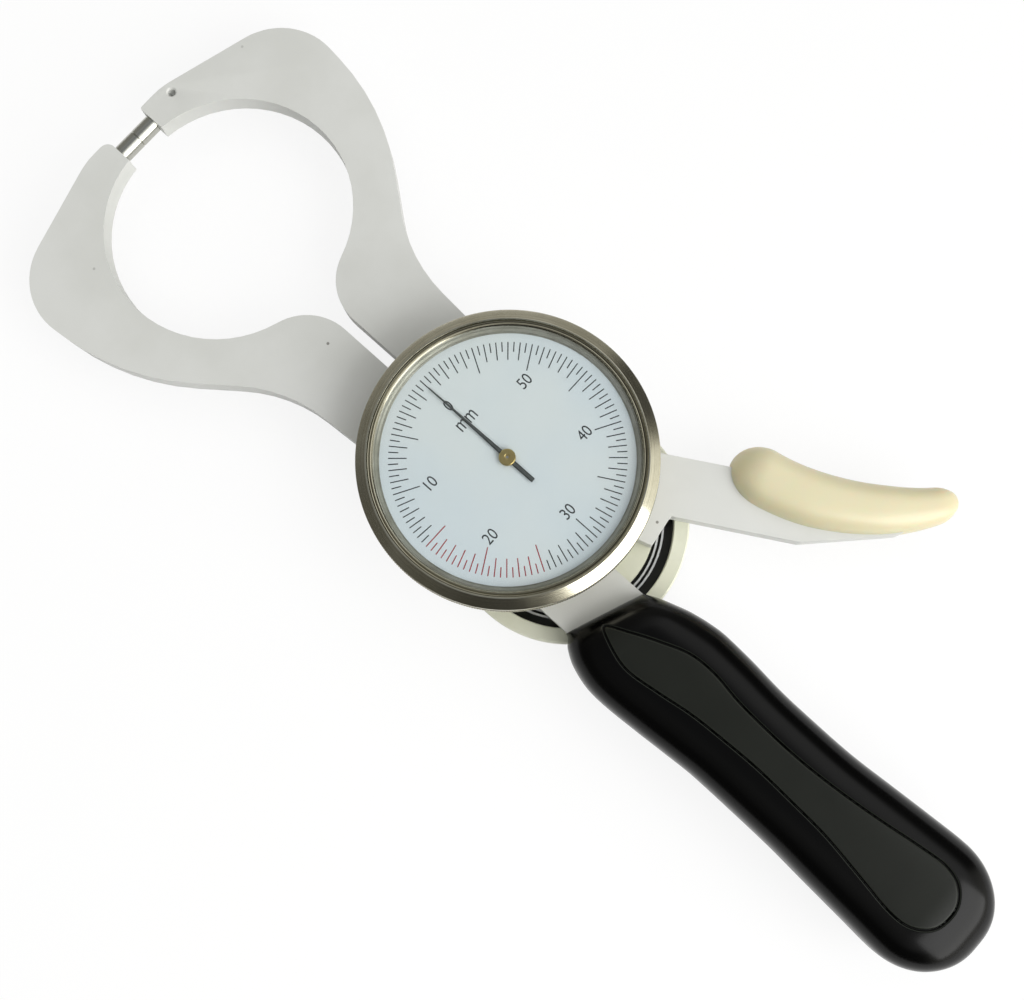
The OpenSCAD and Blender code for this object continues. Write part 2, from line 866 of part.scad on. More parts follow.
module pointer() {
    z = z_dial + pointer_lift;
    color([0.2, 0.2, 0.19])
        translate([0, dial_y, 0])
            difference() {
                union() {
                    slab([
                        [-0.12, pointer_len], [-0.62, 0], [-0.62, -pointer_tail],
                        [0.62, -pointer_tail], [0.62, 0], [0.12, pointer_len]
                    ], z, z + pointer_t);
                    translate([0, 0, z])
                        cylinder(d = boss_d - 0.6, h = pointer_t);
                }
                translate([0, 0, z - 1])
                    cylinder(r = boss_d / 4 + seat_play, h = 2);
            }
}

module pointer_boss() {
    z = z_dial + 0.3;
    top = z_crystal - 0.35;
    color(brass)
        translate([0, dial_y, 0])
            difference() {
                union() {
                    translate([0, 0, z])
                        cylinder(d = boss_d, h = pointer_lift - 0.3);
                    translate([0, 0, z])
                        cylinder(d = boss_d / 2, h = top - z);
                    translate([0, 0, z_dial + pointer_lift + pointer_t])
                        cylinder(d = boss_d, h = top - (z_dial + pointer_lift + pointer_t));
                }
                translate([0, 0, z - 1])
                    cylinder(d = arbor_d + 2 * seat_play, h = 2.1);
                translate([0, 0, top - 0.15])
                    cylinder(d = 0.7, h = 1);
            }
}

// ---------------------------------------------------------------- spring drum

hub_boss_r = 8;
hub_wall = 2;
tab_a = turn((spring_pin_a + 360 * strip_turns) % 360);
knob_play = 20;
spring_eye_r = 0.95;
strip_z0 = z_cavity + 0.5;
hub_gap = 0.4;
hub_disc_t = 1.2;
strip_z1 = z_plate - hub_gap - hub_disc_t - 0.2;

module spring_drum() {
    color(nickel)
        difference() {
            rotate_extrude()
                polygon([
                    [hub_boss_r + run_play, z_drum],
                    [drum_r - 0.8, z_drum],
                    [drum_r, z_drum + 0.8],
                    [drum_r, z_plate - 0.4],
                    [drum_r - 0.4, z_plate],
                    [drum_bore_r + 0.2, z_plate],
                    [drum_bore_r, z_plate - 0.2],
                    [drum_bore_r, z_cavity],
                    [hub_boss_r + run_play, z_cavity]
                ]);
            for (s = drum_spots)
                translate([s[0], s[1], z_drum]) {
                    translate([0, 0, -0.1])
                        cylinder(d1 = drum_head_d + 0.4, d2 = drum_screw_d,
                                 h = (drum_head_d - drum_screw_d) / 2 + 0.1);
                    cylinder(d = drum_screw_d + 0.2, h = drum_h + 1);
                }
        }
}

module drum_screws() {
    color(steel)
        for (s = drum_spots)
            translate([s[0], s[1], z_drum])
                flat_screw(drum_screw_d, drum_head_d, drum_h + drum_screw_depth);
}

module friction_washer() {
    color(bronze)
        translate([0, 0, z_cavity])
            ring(hub_boss_r + 4, hub_boss_r + 0.3, 0.2);
}

// Cup-shaped hub that the spring winds round: front disc, rim, and a boss through the drum's
// back to the knob. Its rim has a window for the inner end of the spring
module spring_hub() {
    z0 = z_cavity + 0.2;
    z1 = z_plate - hub_gap;
    window_from = tab_a - travel - knob_play - 5;
    window_to = tab_a + knob_play + 5;
    window_r = spring_hub_r + 2;
    color(nickel)
        difference() {
            union() {
                translate([0, 0, z0])
                    cylinder(r = spring_hub_r, h = z1 - z0);
                translate([0, 0, knob_t])
                    cylinder(r = hub_boss_r, h = z0 - knob_t + 1);
            }
            // hollow between boss and rim, open to the back
            translate([0, 0, z0 - 1])
                ring(spring_hub_r - hub_wall, hub_boss_r + 4.4, z1 - hub_disc_t - z0 + 1);
            slab(concat(
                arc([0, 0], spring_hub_r - hub_wall - 0.4, window_from, window_to),
                arc([0, 0], window_r, window_to, window_from)
            ), strip_z0 - 0.3, z1 - hub_disc_t);
            // running bore of the shaft, with room for its clip
            translate([0, 0, z_cavity])
                cylinder(r = shaft_d / 2 + run_play, h = drum_h);
            translate([0, 0, knob_t - 1])
                cylinder(r = shaft_d / 2 + 1.6, h = z_cavity + 1.8 - knob_t + 1);
            for (a = [90, 210, 330])
                rotate([0, 0, a])
                    translate([6.8, 0, knob_t - 1])
                        cylinder(r = 0.6 + seat_play, h = 3.2);
        }
}

// Flat spiral spring: its outer end is an eye on the pin of the lever, and its inner end a tab
// in the window of the hub
module main_spring() {
    n = ceil(strip_turns * 60);
    function coil_r(a) = strip_r_out - strip_pitch * a / 360;
    function coil_a(a) = spring_pin_a + a;
    sweep = 360 * strip_turns;
    start = 1.8;
    outer = [
        for (i = [0:n])
            let (a = start + (sweep - start) * i / n)
            (coil_r(a) + strip_t / 2) * [cos(coil_a(a)), sin(coil_a(a))]
    ];
    inner = [
        for (i = [n:-1:0])
            let (a = start + (sweep - start) * i / n)
            (coil_r(a) - strip_t / 2) * [cos(coil_a(a)), sin(coil_a(a))]
    ];
    color([0.8, 0.8, 0.78]) {
        slab(concat(outer, inner), strip_z0, strip_z1);
        rotate([0, 0, spring_pin_a])
            translate([spring_pin_at, 0, strip_z0 + 0.2])
                ring(spring_eye_r, spring_pin_r + seat_play, strip_z1 - strip_z0 - 0.4);
        rotate([0, 0, spring_pin_a + sweep])
            translate([spring_hub_r - hub_wall - 0.2, -strip_t, strip_z0 + 0.2])
                cube([coil_r(sweep) - spring_hub_r + hub_wall + 0.2, strip_t,
                      strip_z1 - strip_z0 - 0.4]);
    }
}

module spring_pin() {
    color(steel)
        rotate([0, 0, spring_pin_a])
            translate([spring_pin_at, 0, strip_z0])
                cylinder(r = spring_pin_r, h = z_moving + 2 - strip_z0);
}

module pressure_knob() {
    ridges = 48;
    color(nickel)
        difference() {
            union() {
                translate([0, 0, 0.4])
                    linear_extrude(knob_t - 0.8)
                        polygon([
                            for (i = [0:2 * ridges - 1])
                                let (r = knob_r - (i % 2) * 0.5)
                                r * [cos(180 * i / ridges), sin(180 * i / ridges)]
                        ]);
                cylinder(r1 = knob_r - 1.2, r2 = knob_r - 0.8, h = 0.4);
                translate([0, 0, knob_t - 0.4])
                    cylinder(r = knob_r - 0.8, h = 0.4);
            }
            for (a = [90, 210, 330])
                rotate([0, 0, a])
                    translate([6.8, 0, 0]) {
                        translate([0, 0, -0.1])
                            cylinder(d1 = 3.3, d2 = 1.3, h = 1.1);
                        cylinder(r = 0.7, h = knob_t + 1);
                    }
        }
}

module knob_screws() {
    color(steel)
        for (a = [90, 210, 330])
            rotate([0, 0, a])
                translate([6.8, 0, 0.15])
                    flat_screw(1.2, 2.7, knob_t + 1.8);
}

// ---------------------------------------------------------------- handle

heel_round = 17.1;
end_half_w = 10.3;
end_y = -23;
end_slope = -0.382;
end_fade = 26;
end_edge = 2.2;
end_round = 10;

// Half width and sideways lean of the grip along its length
function grip_half(y) =
    let (
        heel_y = -handle_reach + heel_round,
        body = through([
            [heel_y, heel_half_w],
            [heel_y + 9.8, heel_half_w - 0.5],
            [heel_y + 21.8, heel_half_w - 1.25],
            [-90, waist_half_w + 0.15],
            [-78, waist_half_w],
            [-66, waist_half_w + 0.15],
            [-56, palm_half_w - 0.55],
            [-45, palm_half_w],
            [-36, palm_half_w - 0.5],
            [-30, palm_half_w - 2.15],
            [-26, palm_half_w - 4],
            [end_y, end_half_w]
        ], y),
        u = (heel_y - y) / heel_round
    )
    u <= 0 ? body : heel_half_w * sqrt(max(0, 1 - u * u));
function grip_lean(y) = through([
    [-handle_reach, 0.45],
    [-132, 0.1],
    [-116, 0.1],
    [-90, -0.15],
    [-72, 0],
    [-60, 0.25],
    [-48, 0.1],
    [-42, -0.35],
    [-36, -0.75],
    [-30, -0.65],
    [-26, -0.1],
    [end_y, 0.5]
], y);
function grip_half_thick(y) =
    let (
        low = plate_t / 2 + end_edge,
        u = max(0, (-handle_reach + heel_round - y) / heel_round),
        v = max(0, (y - end_y + end_round) / end_round)
    )
    y > end_y - end_round ? low + (grip_half_t - low) * sqrt(max(0, 1 - v * v)) :
    grip_half_t * pow(max(0, 1 - pow(u, 2.3)), 1 / 2.3);

// One scale of the grip: superellipse sections from its slanted upper end to the heel,
// with its thickness times k
module grip_scale(k = 1) {
    stations = 36;
    around = 20;
    crowding = 0.06;
    ys = [
        for (i = [0:stations])
            let (t = i / stations)
            end_y - (handle_reach + end_y - 0.05) * (t - crowding * sin(360 * t))
    ];
    points = [
        for (y = ys)
            let (slant = end_slope * max(0, 1 - (end_y - y) / end_fade))
            for (j = [0:around])
                let (
                    a = 180 * j / around,
                    x = grip_half(y) * bulge(cos(a), grip_square)
                )
                [grip_x + grip_lean(y) + x, y + slant * x,
                 k * grip_half_thick(y) * bulge(sin(a), grip_square)]
    ];
    m = around + 1;
    sides = [
        for (i = [0:stations - 1])
            for (j = [0:around])
                let (
                    a = i * m + j,
                    b = i * m + (j + 1) % m
                )
                each [[a, a + m, b], [b, a + m, b + m]]
    ];
    cap_top = [for (j = [0:around]) j];
    cap_heel = [for (j = [around:-1:0]) stations * m + j];
    polyhedron(points, concat([cap_top], sides, [cap_heel]));
}

// Outline of the raised panel, drawn in by d
function panel_half(y) = through([
    [-128.9, 0.5],
    [-127.2, 5.4],
    [-120.5, 8.4],
    [-100, 5.9],
    [-76, 4.1],
    [-60, 4.9],
    [-45, 6.1],
    [-35, 4.9],
    [-25.2, 0.4]
], y);
function panel_mid(y) = through([
    [-128, -11.4],
    [-52, -11],
    [-44, -11.6],
    [-36, -13.6],
    [-25, -14.4]
], y);
function panel_outline(d) =
    let (
        n = 30,
        y0 = -25.2 - d,
        y1 = -128.9 + d,
        ys = [for (i = [0:n]) y0 + (y1 - y0) * (1 - cos(180 * i / n)) / 2]
    )
    concat(
        [for (y = ys) [panel_mid(y) + max(0.2, panel_half(y) - d), y]],
        [for (i = [n:-1:0]) [panel_mid(ys[i]) - max(0.2, panel_half(ys[i]) - d), ys[i]]]
    );

// A scale with its panel groove and half of the pocket for the tang
module shaped_scale() {
    pocket = plate_t / 2 + seat_play;
    difference() {
        grip_scale();
        difference() {
            translate([0, 0, plate_t / 2 + 0.6])
                linear_extrude(grip_half_t)
                    difference() {
                        polygon(panel_outline(0));
                        polygon(panel_outline(groove_w));
                    }
            grip_scale(1 - groove_depth / grip_half_t);
        }
        slab([for (p = tang_outline) [p[0], p[1] - seat_play]], -1, pocket);
        slab([for (p = tang_outline) [grip_x + (p[0] - grip_x) * 1.01, p[1]]], -1, pocket);
    }
}

grip_head_d = 5.6;
grip_head_h = 2;
grip_head_depth = 3.2;
grip_screw_end = 4.6;

module handle_front() {
    color(black)
        translate([0, 0, z_mid])
            difference() {
                shaped_scale();
                for (s = grip_spots)
                    translate([s[0], s[1], -1])
                        cylinder(d = grip_screw_d + 2 * seat_play, h = grip_half_t - 3);
            }
}

module handle_back() {
    color(black)
        difference() {
            translate([0, 0, z_mid])
                mirror([0, 0, 1])
                    shaped_scale();
            cylinder(r = drum_r + side_gap, h = z_plate + side_gap);
            for (s = grip_spots)
                translate([s[0], s[1], z_mid - grip_half_t - 1]) {
                    cylinder(d = grip_screw_d + 0.3, h = grip_half_t + 2);
                    cylinder(d = grip_head_d + 0.4, h = grip_head_depth + 1);
                }
        }
}

module handle_screws() {
    z0 = z_mid - grip_half_t + grip_head_depth;
    color(steel)
        for (s = grip_spots)
            translate([s[0], s[1], z0]) {
                cylinder(d = grip_screw_d, h = 2 * grip_half_t - grip_head_depth - grip_screw_end);
                difference() {
                    translate([0, 0, -grip_head_h])
                        cylinder(d = grip_head_d, h = grip_head_h);
                    for (a = [0, 90])
                        rotate([0, 0, a])
                            translate([-1.7, -0.4, -grip_head_h - 1])
                                cube([3.4, 0.8, 2]);
                }
            }
}

// ---------------------------------------------------------------- lever pad

pad_start = 187.25;
pad_centre = [105.8, -12.6];
pad_head_d = 4;
pad_head_h = 1.6;
pad_head_depth = 2.6;
pad_screw_end = 4;

// Half width along the pad as a share of its largest: a round butt and a tapering tip
function pad_swell(t) =
    let (
        u = min(1, t / 0.16),
        v = max(0, (t - 0.9) / 0.1)
    )
    through([
        [0, 1], [0.32, 0.99], [0.44, 0.955], [0.56, 0.9], [0.68, 0.83], [0.8, 0.7],
        [0.92, 0.56], [1, 0.5]
    ], t) * sqrt(max(0, 1 - pow(1 - u, 2))) * sqrt(max(0, 1 - v * v));

// How far the pad's middle line lies inside its arc
function pad_shift(t) = through([[0, 1.1], [0.11, 0.75], [0.19, 0.35], [0.33, -0.05],
                                 [0.5, -0.2], [0.7, -0.3], [0.9, -0.2], [1, 0.4]], t);

module pad_body() {
    stations = 26;
    around = 24;
    ts = [for (i = [0:stations]) 0.0006 + 0.9988 * (1 - cos(180 * i / stations)) / 2];
    points = [
        for (t = ts)
            let (
                a = pad_start + pad_sweep * t,
                out = [cos(a), sin(a)],
                c = pad_centre + (pad_bend_r - pad_shift(t)) * out,
                s = pad_swell(t)
            )
            for (j = [0:around - 1])
                let (b = 360 * j / around)
                [
                    c[0] + out[0] * pad_half_w * s * bulge(cos(b), 2.3),
                    c[1] + out[1] * pad_half_w * s * bulge(cos(b), 2.3),
                    pad_half_t * s * bulge(sin(b), 2.3)
                ]
    ];
    sides = [
        for (i = [0:stations - 1])
            for (j = [0:around - 1])
                let (
                    a = i * around + j,
                    b = i * around + (j + 1) % around
                )
                each [[a, b, a + around], [b, b + around, a + around]]
    ];
    cap_butt = [for (j = [around - 1:-1:0]) j];
    cap_tip = [for (j = [0:around - 1]) stations * around + j];
    polyhedron(points, concat([cap_butt], sides, [cap_tip]));
}

module lever_pad() {
    color(ivory)
        difference() {
            translate([0, 0, z_mid])
                pad_body();
            slab(lever_outline, z_moving, z_moving + moving_t);
            for (s = pad_spots)
                translate([s[0], s[1], z_mid - pad_half_t - 1]) {
                    cylinder(d = pad_screw_d + 2 * seat_play, h = 2 * pad_half_t - 2);
                    cylinder(d = pad_head_d + 0.4, h = pad_head_depth + 1);
                }
        }
}

module pad_screws() {
    color(steel)
        for (s = pad_spots)
            translate([s[0], s[1], z_mid - pad_half_t + pad_head_depth - pad_head_h]) {
                cylinder(d = pad_head_d, h = pad_head_h);
                cylinder(d = pad_screw_d, h = 2 * pad_half_t - pad_screw_end - 1);
            }
}

fixed_plate();
fixed_anvil();
pivot_bush();
spring_drum();
drum_screws();
friction_washer();
dial_case();
case_screws();
arbor_bush();
bridge_posts();
movement_bridge();
bridge_screws();
bezel_snap_ring();
handle_front();
handle_back();
handle_screws();
moving_plate();
moving_anvil();
pivot_shaft();
shaft_clip();
thrust_washer();
gear_sector();
sector_nut();
lever_pad();
pad_screws();
spring_pin();
main_spring();
bezel_ring();
crystal();
sloped_ring();
dial_plate();
pointer_arbor();
pointer();
pointer_boss();
spring_hub();
pressure_knob();
knob_screws();
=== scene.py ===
"""Looks of a dial skinfold caliper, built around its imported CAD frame.

Two painted jaw arms with steel anvils, a geared dial under a clear crystal, a flat spiral
spring in its drum, a black grip and an ivory lever pad. Sizes are millimetres in the classes
and become metres where a mesh is made. New pieces are surfaces worked out with numpy.
"""
import logging
import math
from dataclasses import dataclass, field
from enum import Enum
from typing import Callable, Dict, Iterable, List, Optional, Sequence, Tuple, Union

import bmesh
import bpy
import numpy as np
from mathutils import Matrix, Vector


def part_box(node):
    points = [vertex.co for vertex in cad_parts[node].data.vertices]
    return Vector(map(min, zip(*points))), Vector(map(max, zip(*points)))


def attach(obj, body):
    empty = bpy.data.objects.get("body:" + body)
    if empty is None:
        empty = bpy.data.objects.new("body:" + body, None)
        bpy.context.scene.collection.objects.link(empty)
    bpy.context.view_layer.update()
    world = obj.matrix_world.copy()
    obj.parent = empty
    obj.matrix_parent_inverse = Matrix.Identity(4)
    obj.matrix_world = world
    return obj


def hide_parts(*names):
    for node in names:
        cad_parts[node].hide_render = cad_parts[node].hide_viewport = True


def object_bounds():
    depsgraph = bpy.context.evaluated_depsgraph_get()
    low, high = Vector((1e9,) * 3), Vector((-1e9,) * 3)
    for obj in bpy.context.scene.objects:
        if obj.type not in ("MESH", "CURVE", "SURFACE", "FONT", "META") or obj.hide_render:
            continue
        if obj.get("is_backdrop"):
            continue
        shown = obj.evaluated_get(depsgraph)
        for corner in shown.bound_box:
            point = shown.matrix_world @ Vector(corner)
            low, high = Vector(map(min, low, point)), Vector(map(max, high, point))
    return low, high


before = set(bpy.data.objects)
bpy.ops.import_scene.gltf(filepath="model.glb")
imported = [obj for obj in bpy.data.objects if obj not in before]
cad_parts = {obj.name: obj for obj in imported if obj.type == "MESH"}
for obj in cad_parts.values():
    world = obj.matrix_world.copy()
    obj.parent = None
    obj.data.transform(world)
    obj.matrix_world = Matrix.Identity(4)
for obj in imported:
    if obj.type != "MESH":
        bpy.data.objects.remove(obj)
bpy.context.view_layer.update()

LOG = logging.getLogger("caliper")
MM = 0.001
TURN = 2.0 * math.pi

Colour = Tuple[float, float, float, float]
Noise = Tuple[float, float, float]
Pair = Tuple[float, float]
Pairs = Tuple[Pair, ...]
Value = Union["Sock", float]
Link = bpy.types.NodeSocket
Thing = bpy.types.Object


class Body(Enum):
    """The rigid bodies of the frame."""

    FRAME = "frame"
    JAW = "moving_jaw"
    BEZEL = "bezel"
    POINTER = "pointer_set"
    PRESSURE = "pressure_set"


class Slot(Enum):
    """Material slots of the record."""

    PAINT = "grey_paint"
    CHROME = "anvil_chrome"
    NICKEL = "nickel"
    BRASS = "brass"
    BLACK = "black_plastic"
    IVORY = "ivory_plastic"
    GLASS = "clear_glass"
    DIAL = "dial_paint"
    NEEDLE = "pointer_paint"


def tone(*shade: float) -> Colour:
    """Linear colour of red, green and blue as they look on a screen, 0 to 255."""
    lin = [v / 12.92 if v <= 0.04045 else ((v + 0.055) / 1.055) ** 2.4
           for v in (part / 255.0 for part in shade)]
    return (*lin, 1.0)


# ------------------------------------------------------------------ shader expressions


def operator(operation: str, swapped: bool = False) -> Callable[["Sock", Value], "Sock"]:
    """The method of one Math operation; swapped puts the other value first."""
    def apply(self: "Sock", other: Value) -> "Sock":
        """Adds the node."""
        return self.maths(operation, *((other, self) if swapped else (self, other)))
    return apply


class Sock:
    """A value socket in an expression; each operator adds one Math node."""

    def __init__(self, graph: "Graph", socket: Link) -> None:
        """Keeps the socket and the graph that owns it."""
        self.graph = graph
        self.socket = socket

    def maths(self, operation: str, *values: Value) -> "Sock":
        """The output of a new Math node with these inputs, sockets or numbers."""
        node = self.graph.node("ShaderNodeMath", {"operation": operation},
                               dict(enumerate(values)))
        return Sock(self.graph, node.outputs[0])

    __add__ = __radd__ = operator("ADD")
    __mul__ = __rmul__ = operator("MULTIPLY")
    __sub__, __rsub__ = operator("SUBTRACT"), operator("SUBTRACT", True)
    __truediv__, __rtruediv__ = operator("DIVIDE"), operator("DIVIDE", True)
    __pow__ = operator("POWER")

    def sqrt(self) -> "Sock":
        """Square root."""
        return self.maths("SQRT", self)

    def angle(self, across: "Sock") -> "Sock":
        """Angle in radians of the point that lies this high and that far across."""
        return self.maths("ARCTAN2", self, across)

    def step(self, low: float, high: float) -> "Sock":
        """Smooth step from 0 at low to 1 at high; low may be the larger."""
        t = (self - low) / (high - low)
        t = t.maths("MINIMUM", t.maths("MAXIMUM", t, 0.0), 1.0)
        return t * t * (3.0 - 2.0 * t)


class Graph:
    """The node tree of one material or of the world."""

    def __init__(self, owner: Union[bpy.types.Material, bpy.types.World]) -> None:
        """Empties the owner's tree and keeps it."""
        owner.use_nodes = True
        self.tree = owner.node_tree
        self.tree.nodes.clear()

    def node(self, kind: str, settings: Optional[Dict[str, object]] = None,
             inputs: Optional[Dict[Union[int, str], object]] = None) -> bpy.types.Node:
        """Adds a node.

        Args:
            kind: the node's type.
            settings: its properties, set first; "stops" fills a colour ramp.
            inputs: values or links, by index, identifier or name of a socket.

        Returns:
            The node.
        """
        node = self.tree.nodes.new(kind)
        for key, value in (settings or {}).items():
            if key == "stops":
                ramp = node.color_ramp
                while len(ramp.elements) < len(value):
                    ramp.elements.new(0.5)
                for element, (place, colour) in zip(ramp.elements, value):
                    element.position = place
                    element.color = colour
            else:
                setattr(node, key, value)
        for key, value in (inputs or {}).items():
            target = self._input(node, key)
            if isinstance(value, Sock):
                self.tree.links.new(value.socket, target)
            elif isinstance(value, Link):
                self.tree.links.new(value, target)
            else:
                target.default_value = value
        return node

    @staticmethod
    def _input(node: bpy.types.Node, key: Union[int, str]) -> Link:
        """Finds an input by index, identifier or name."""
        named = [socket for socket in node.inputs if socket.identifier == key]
        return named[0] if named else node.inputs[key]

    def place(self) -> Link:
        """Object coordinates, in metres."""
        return self.node("ShaderNodeTexCoord").outputs["Object"]

    def parts(self, vector: Link) -> Tuple[Sock, Sock, Sock]:
        """The three components of a vector."""
        split = self.node("ShaderNodeSeparateXYZ", {}, {0: vector})
        return tuple(Sock(self, out) for out in split.outputs)

    def vector(self, x: Value, y: Value, z: Value) -> Link:
        """A vector from three values."""
        return self.node("ShaderNodeCombineXYZ", {}, {0: x, 1: y, 2: z}).outputs[0]

    def attribute(self, name: str) -> Sock:
        """A number that the mesh carries at each vertex."""
        node = self.node("ShaderNodeAttribute", {"attribute_name": name})
        return Sock(self, node.outputs["Fac"])

    def noise(self, vector: Link, kind: Noise) -> Sock:
        """Fractal noise, about 0.5 on average, of a scale per metre, detail and roughness."""
        node = self.node("ShaderNodeTexNoise", {"noise_dimensions": "3D"},
                         dict(zip(("Vector", "Scale", "Detail", "Roughness"), (vector, *kind))))
        return Sock(self, node.outputs[0])

    def mix(self, factor: Value, first: object, second: object) -> Link:
        """Mixes two colours."""
        node = self.node("ShaderNodeMix", {"data_type": "RGBA", "clamp_factor": True},
                         {"Factor_Float": factor, "A_Color": first, "B_Color": second})
        return next(o for o in node.outputs if o.identifier == "Result_Color")

    def bump(self, height: Value, distance: float, strength: float = 1.0,
             below: Optional[Link] = None) -> Link:
        """A bumped normal; distance is metres of relief for a height of 1."""
        inputs = {"Strength": strength, "Distance": distance, "Height": height}
        if below is not None:
            inputs["Normal"] = below
        return self.node("ShaderNodeBump", {}, inputs).outputs[0]

    def surface(self, inputs: Dict[Union[int, str], object]) -> None:
        """A Principled shader on the output; inputs by socket name."""
        shader = self.node("ShaderNodeBsdfPrincipled", {}, inputs)
        self.node("ShaderNodeOutputMaterial", {}, {"Surface": shader.outputs[0]})

    def blend(self, factor: Value, first: bpy.types.Node, second: bpy.types.Node) -> None:
        """Two shaders on the output, mixed by a factor that favours the second."""
        mixed = self.node("ShaderNodeMixShader", {}, {
            0: factor, 1: first.outputs[0], 2: second.outputs[0]})
        self.node("ShaderNodeOutputMaterial", {}, {"Surface": mixed.outputs[0]})


@dataclass(frozen=True)
class Finish:
    """A finish: its name, and the material that it makes once."""

    name: str

    def material(self) -> bpy.types.Material:
        """The material, made on first use."""
        found = bpy.data.materials.get(self.name)
        if found is None:
            found = bpy.data.materials.new(self.name)
            self.fill(Graph(found))
        return found

    def fill(self, graph: Graph) -> None:
        """Adds this finish's nodes; each finish has its own.

        Args:
            graph: the empty tree of the material.
        """
        raise NotImplementedError


@dataclass(frozen=True)
class Enamel(Finish):
    """Satin grey enamel: faint clouds, a fine orange peel and a few dark specks."""

    light: Colour = tone(214, 215, 212)
    dark: Colour = tone(207, 208, 204)
    speck: Colour = tone(92, 88, 80)
    clouds: Noise = (38.0, 4.0, 0.55)
    peel: Noise = (900.0, 2.0, 0.5)
    peel_depth: float = 0.00002
    cell_scale: float = 42.0

    def fill(self, graph: Graph) -> None:
        """Clouds in colour and gloss, specks by cells 24 mm wide, peel as a bump."""
        place = graph.place()
        cloud = graph.noise(place, self.clouds).step(0.3, 0.7)
        cells = graph.node("ShaderNodeTexVoronoi", {"voronoi_dimensions": "2D"},
                           {"Vector": place, "Scale": self.cell_scale})
        pick = graph.parts(cells.outputs["Color"])[0]
        reach = 0.010 + 0.008 * pick
        dot = (Sock(graph, cells.outputs["Distance"]) - reach).step(0.004, -0.002)
        dot = dot * pick.step(0.55, 0.6)
        colour = graph.mix(cloud, self.dark, self.light)
        colour = graph.mix(dot * 0.75, colour, self.speck)
        peel = graph.noise(place, self.peel)
        graph.surface({
            "Base Color": colour,
            "Roughness": 0.40 + 0.08 * cloud,
            "Coat Weight": 0.12,
            "Coat Roughness": 0.2,
            "Normal": graph.bump(peel, self.peel_depth, 0.5),
        })


@dataclass(frozen=True)
class Plated(Finish):
    """Polished plating with turned lines round an axis that is parallel to Z."""

    colour: Colour = tone(226, 222, 204)
    shade: Colour = tone(186, 181, 158)
    centre: Pair = (0.0, 0.0)
    rough: float = 0.15
    lines: float = 0.25
    ripple: float = 0.12
    metal: float = 1.0
    well: Tuple[float, float, float] = (0.0, 0.0, 0.0)
    streak: float = 0.0
    # the colour of the darker streaks along the turned lines
    streak_tone: Colour = tone(58, 54, 42)
    # A radius inside which the plating gets painted shade, and the colour of that shade.
    inner_shade_r: float = 0.0
    inner_shade: Colour = tone(128, 125, 108)
    # painted shade for the well
    cavity_shade: Colour = tone(40, 40, 36)
    turning: Noise = (5200.0, 2.0, 0.6)
    turning_depth: float = 0.000006
    waves: Noise = (420.0, 3.0, 0.6)
    wave_depth: float = 0.00004
    smears: Noise = (95.0, 4.0, 0.6)
    flecks: Noise = (260.0, 3.0, 0.6)

    def fill(self, graph: Graph) -> None:
        """Lines by radius, ripples, smears and darker streaks along the lines; inside the inner
        shade radius, painted shade makes it darker.

        The well is a radius, a low and a high level; inside that radius and between them the
        plating gets painted shade, dark as in a deep cavity.
        """
        place = graph.place()
        x, y, z = graph.parts(place)
        dx, dy = x - self.centre[0], y - self.centre[1]
        radius = (dx * dx + dy * dy).sqrt()
        lines = graph.noise(graph.vector(radius, 0.0, z), self.turning)
        wave = graph.noise(place, self.waves)
        smear = graph.noise(place, self.smears).step(0.35, 0.75)
        below = graph.bump(wave, self.wave_depth, self.ripple)
        colour = graph.mix(0.15 + 0.6 * smear, self.colour, self.shade)
        # Darker streaks along the turned lines, uneven in flecks.
        if self.streak > 0.0:
            fleck = graph.noise(place, self.flecks).step(0.3, 0.7)
            streak_mix = self.streak * lines.step(0.44, 0.62) * (0.45 + 0.55 * fleck)
            colour = graph.mix(streak_mix, colour, self.streak_tone)
        # Painted shade: inside this radius the plating is painted darker.
        if self.inner_shade_r > 0.0:
            inside = radius.step(self.inner_shade_r + 0.0001, self.inner_shade_r - 0.0001)
            colour = graph.mix(0.7 * inside, colour, self.inner_shade)
        # Painted shade: a dark colour inside the well's radius and between its levels.
        reach, low, high = self.well
        if reach > 0.0:
            in_cavity = radius.step(reach + 0.0002, reach) * z.step(low - 0.0002, low)
            colour = graph.mix(in_cavity * z.step(high, high - 0.0004), colour, self.cavity_shade)
        graph.surface({
            "Base Color": colour,
            "Metallic": self.metal,
            "Roughness": self.rough + 0.10 * smear + 0.05 * lines,
            "Normal": graph.bump(lines, self.turning_depth, self.lines, below),
        })


@dataclass(frozen=True)
class Turned(Finish):
    """Turned or ground bar: lines round an axis along X, with a polished face."""

    colour: Colour = tone(196, 196, 188)
    rough: float = 0.16
    turning: Noise = (3800.0, 2.0, 0.6)
    turning_depth: float = 0.00001
    smears: Noise = (300.0, 3.0, 0.5)

    def fill(self, graph: Graph) -> None:
        """Lines by the place along X."""
        place = graph.place()
        x, _, _ = graph.parts(place)
        lines = graph.noise(graph.vector(x, 0.0, 0.0), self.turning)
        smear = graph.noise(place, self.smears)
        graph.surface({
            "Base Color": self.colour,
            "Metallic": 1.0,
            "Roughness": self.rough + 0.10 * lines + 0.06 * smear,
            "Normal": graph.bump(lines, self.turning_depth, 0.4),
        })


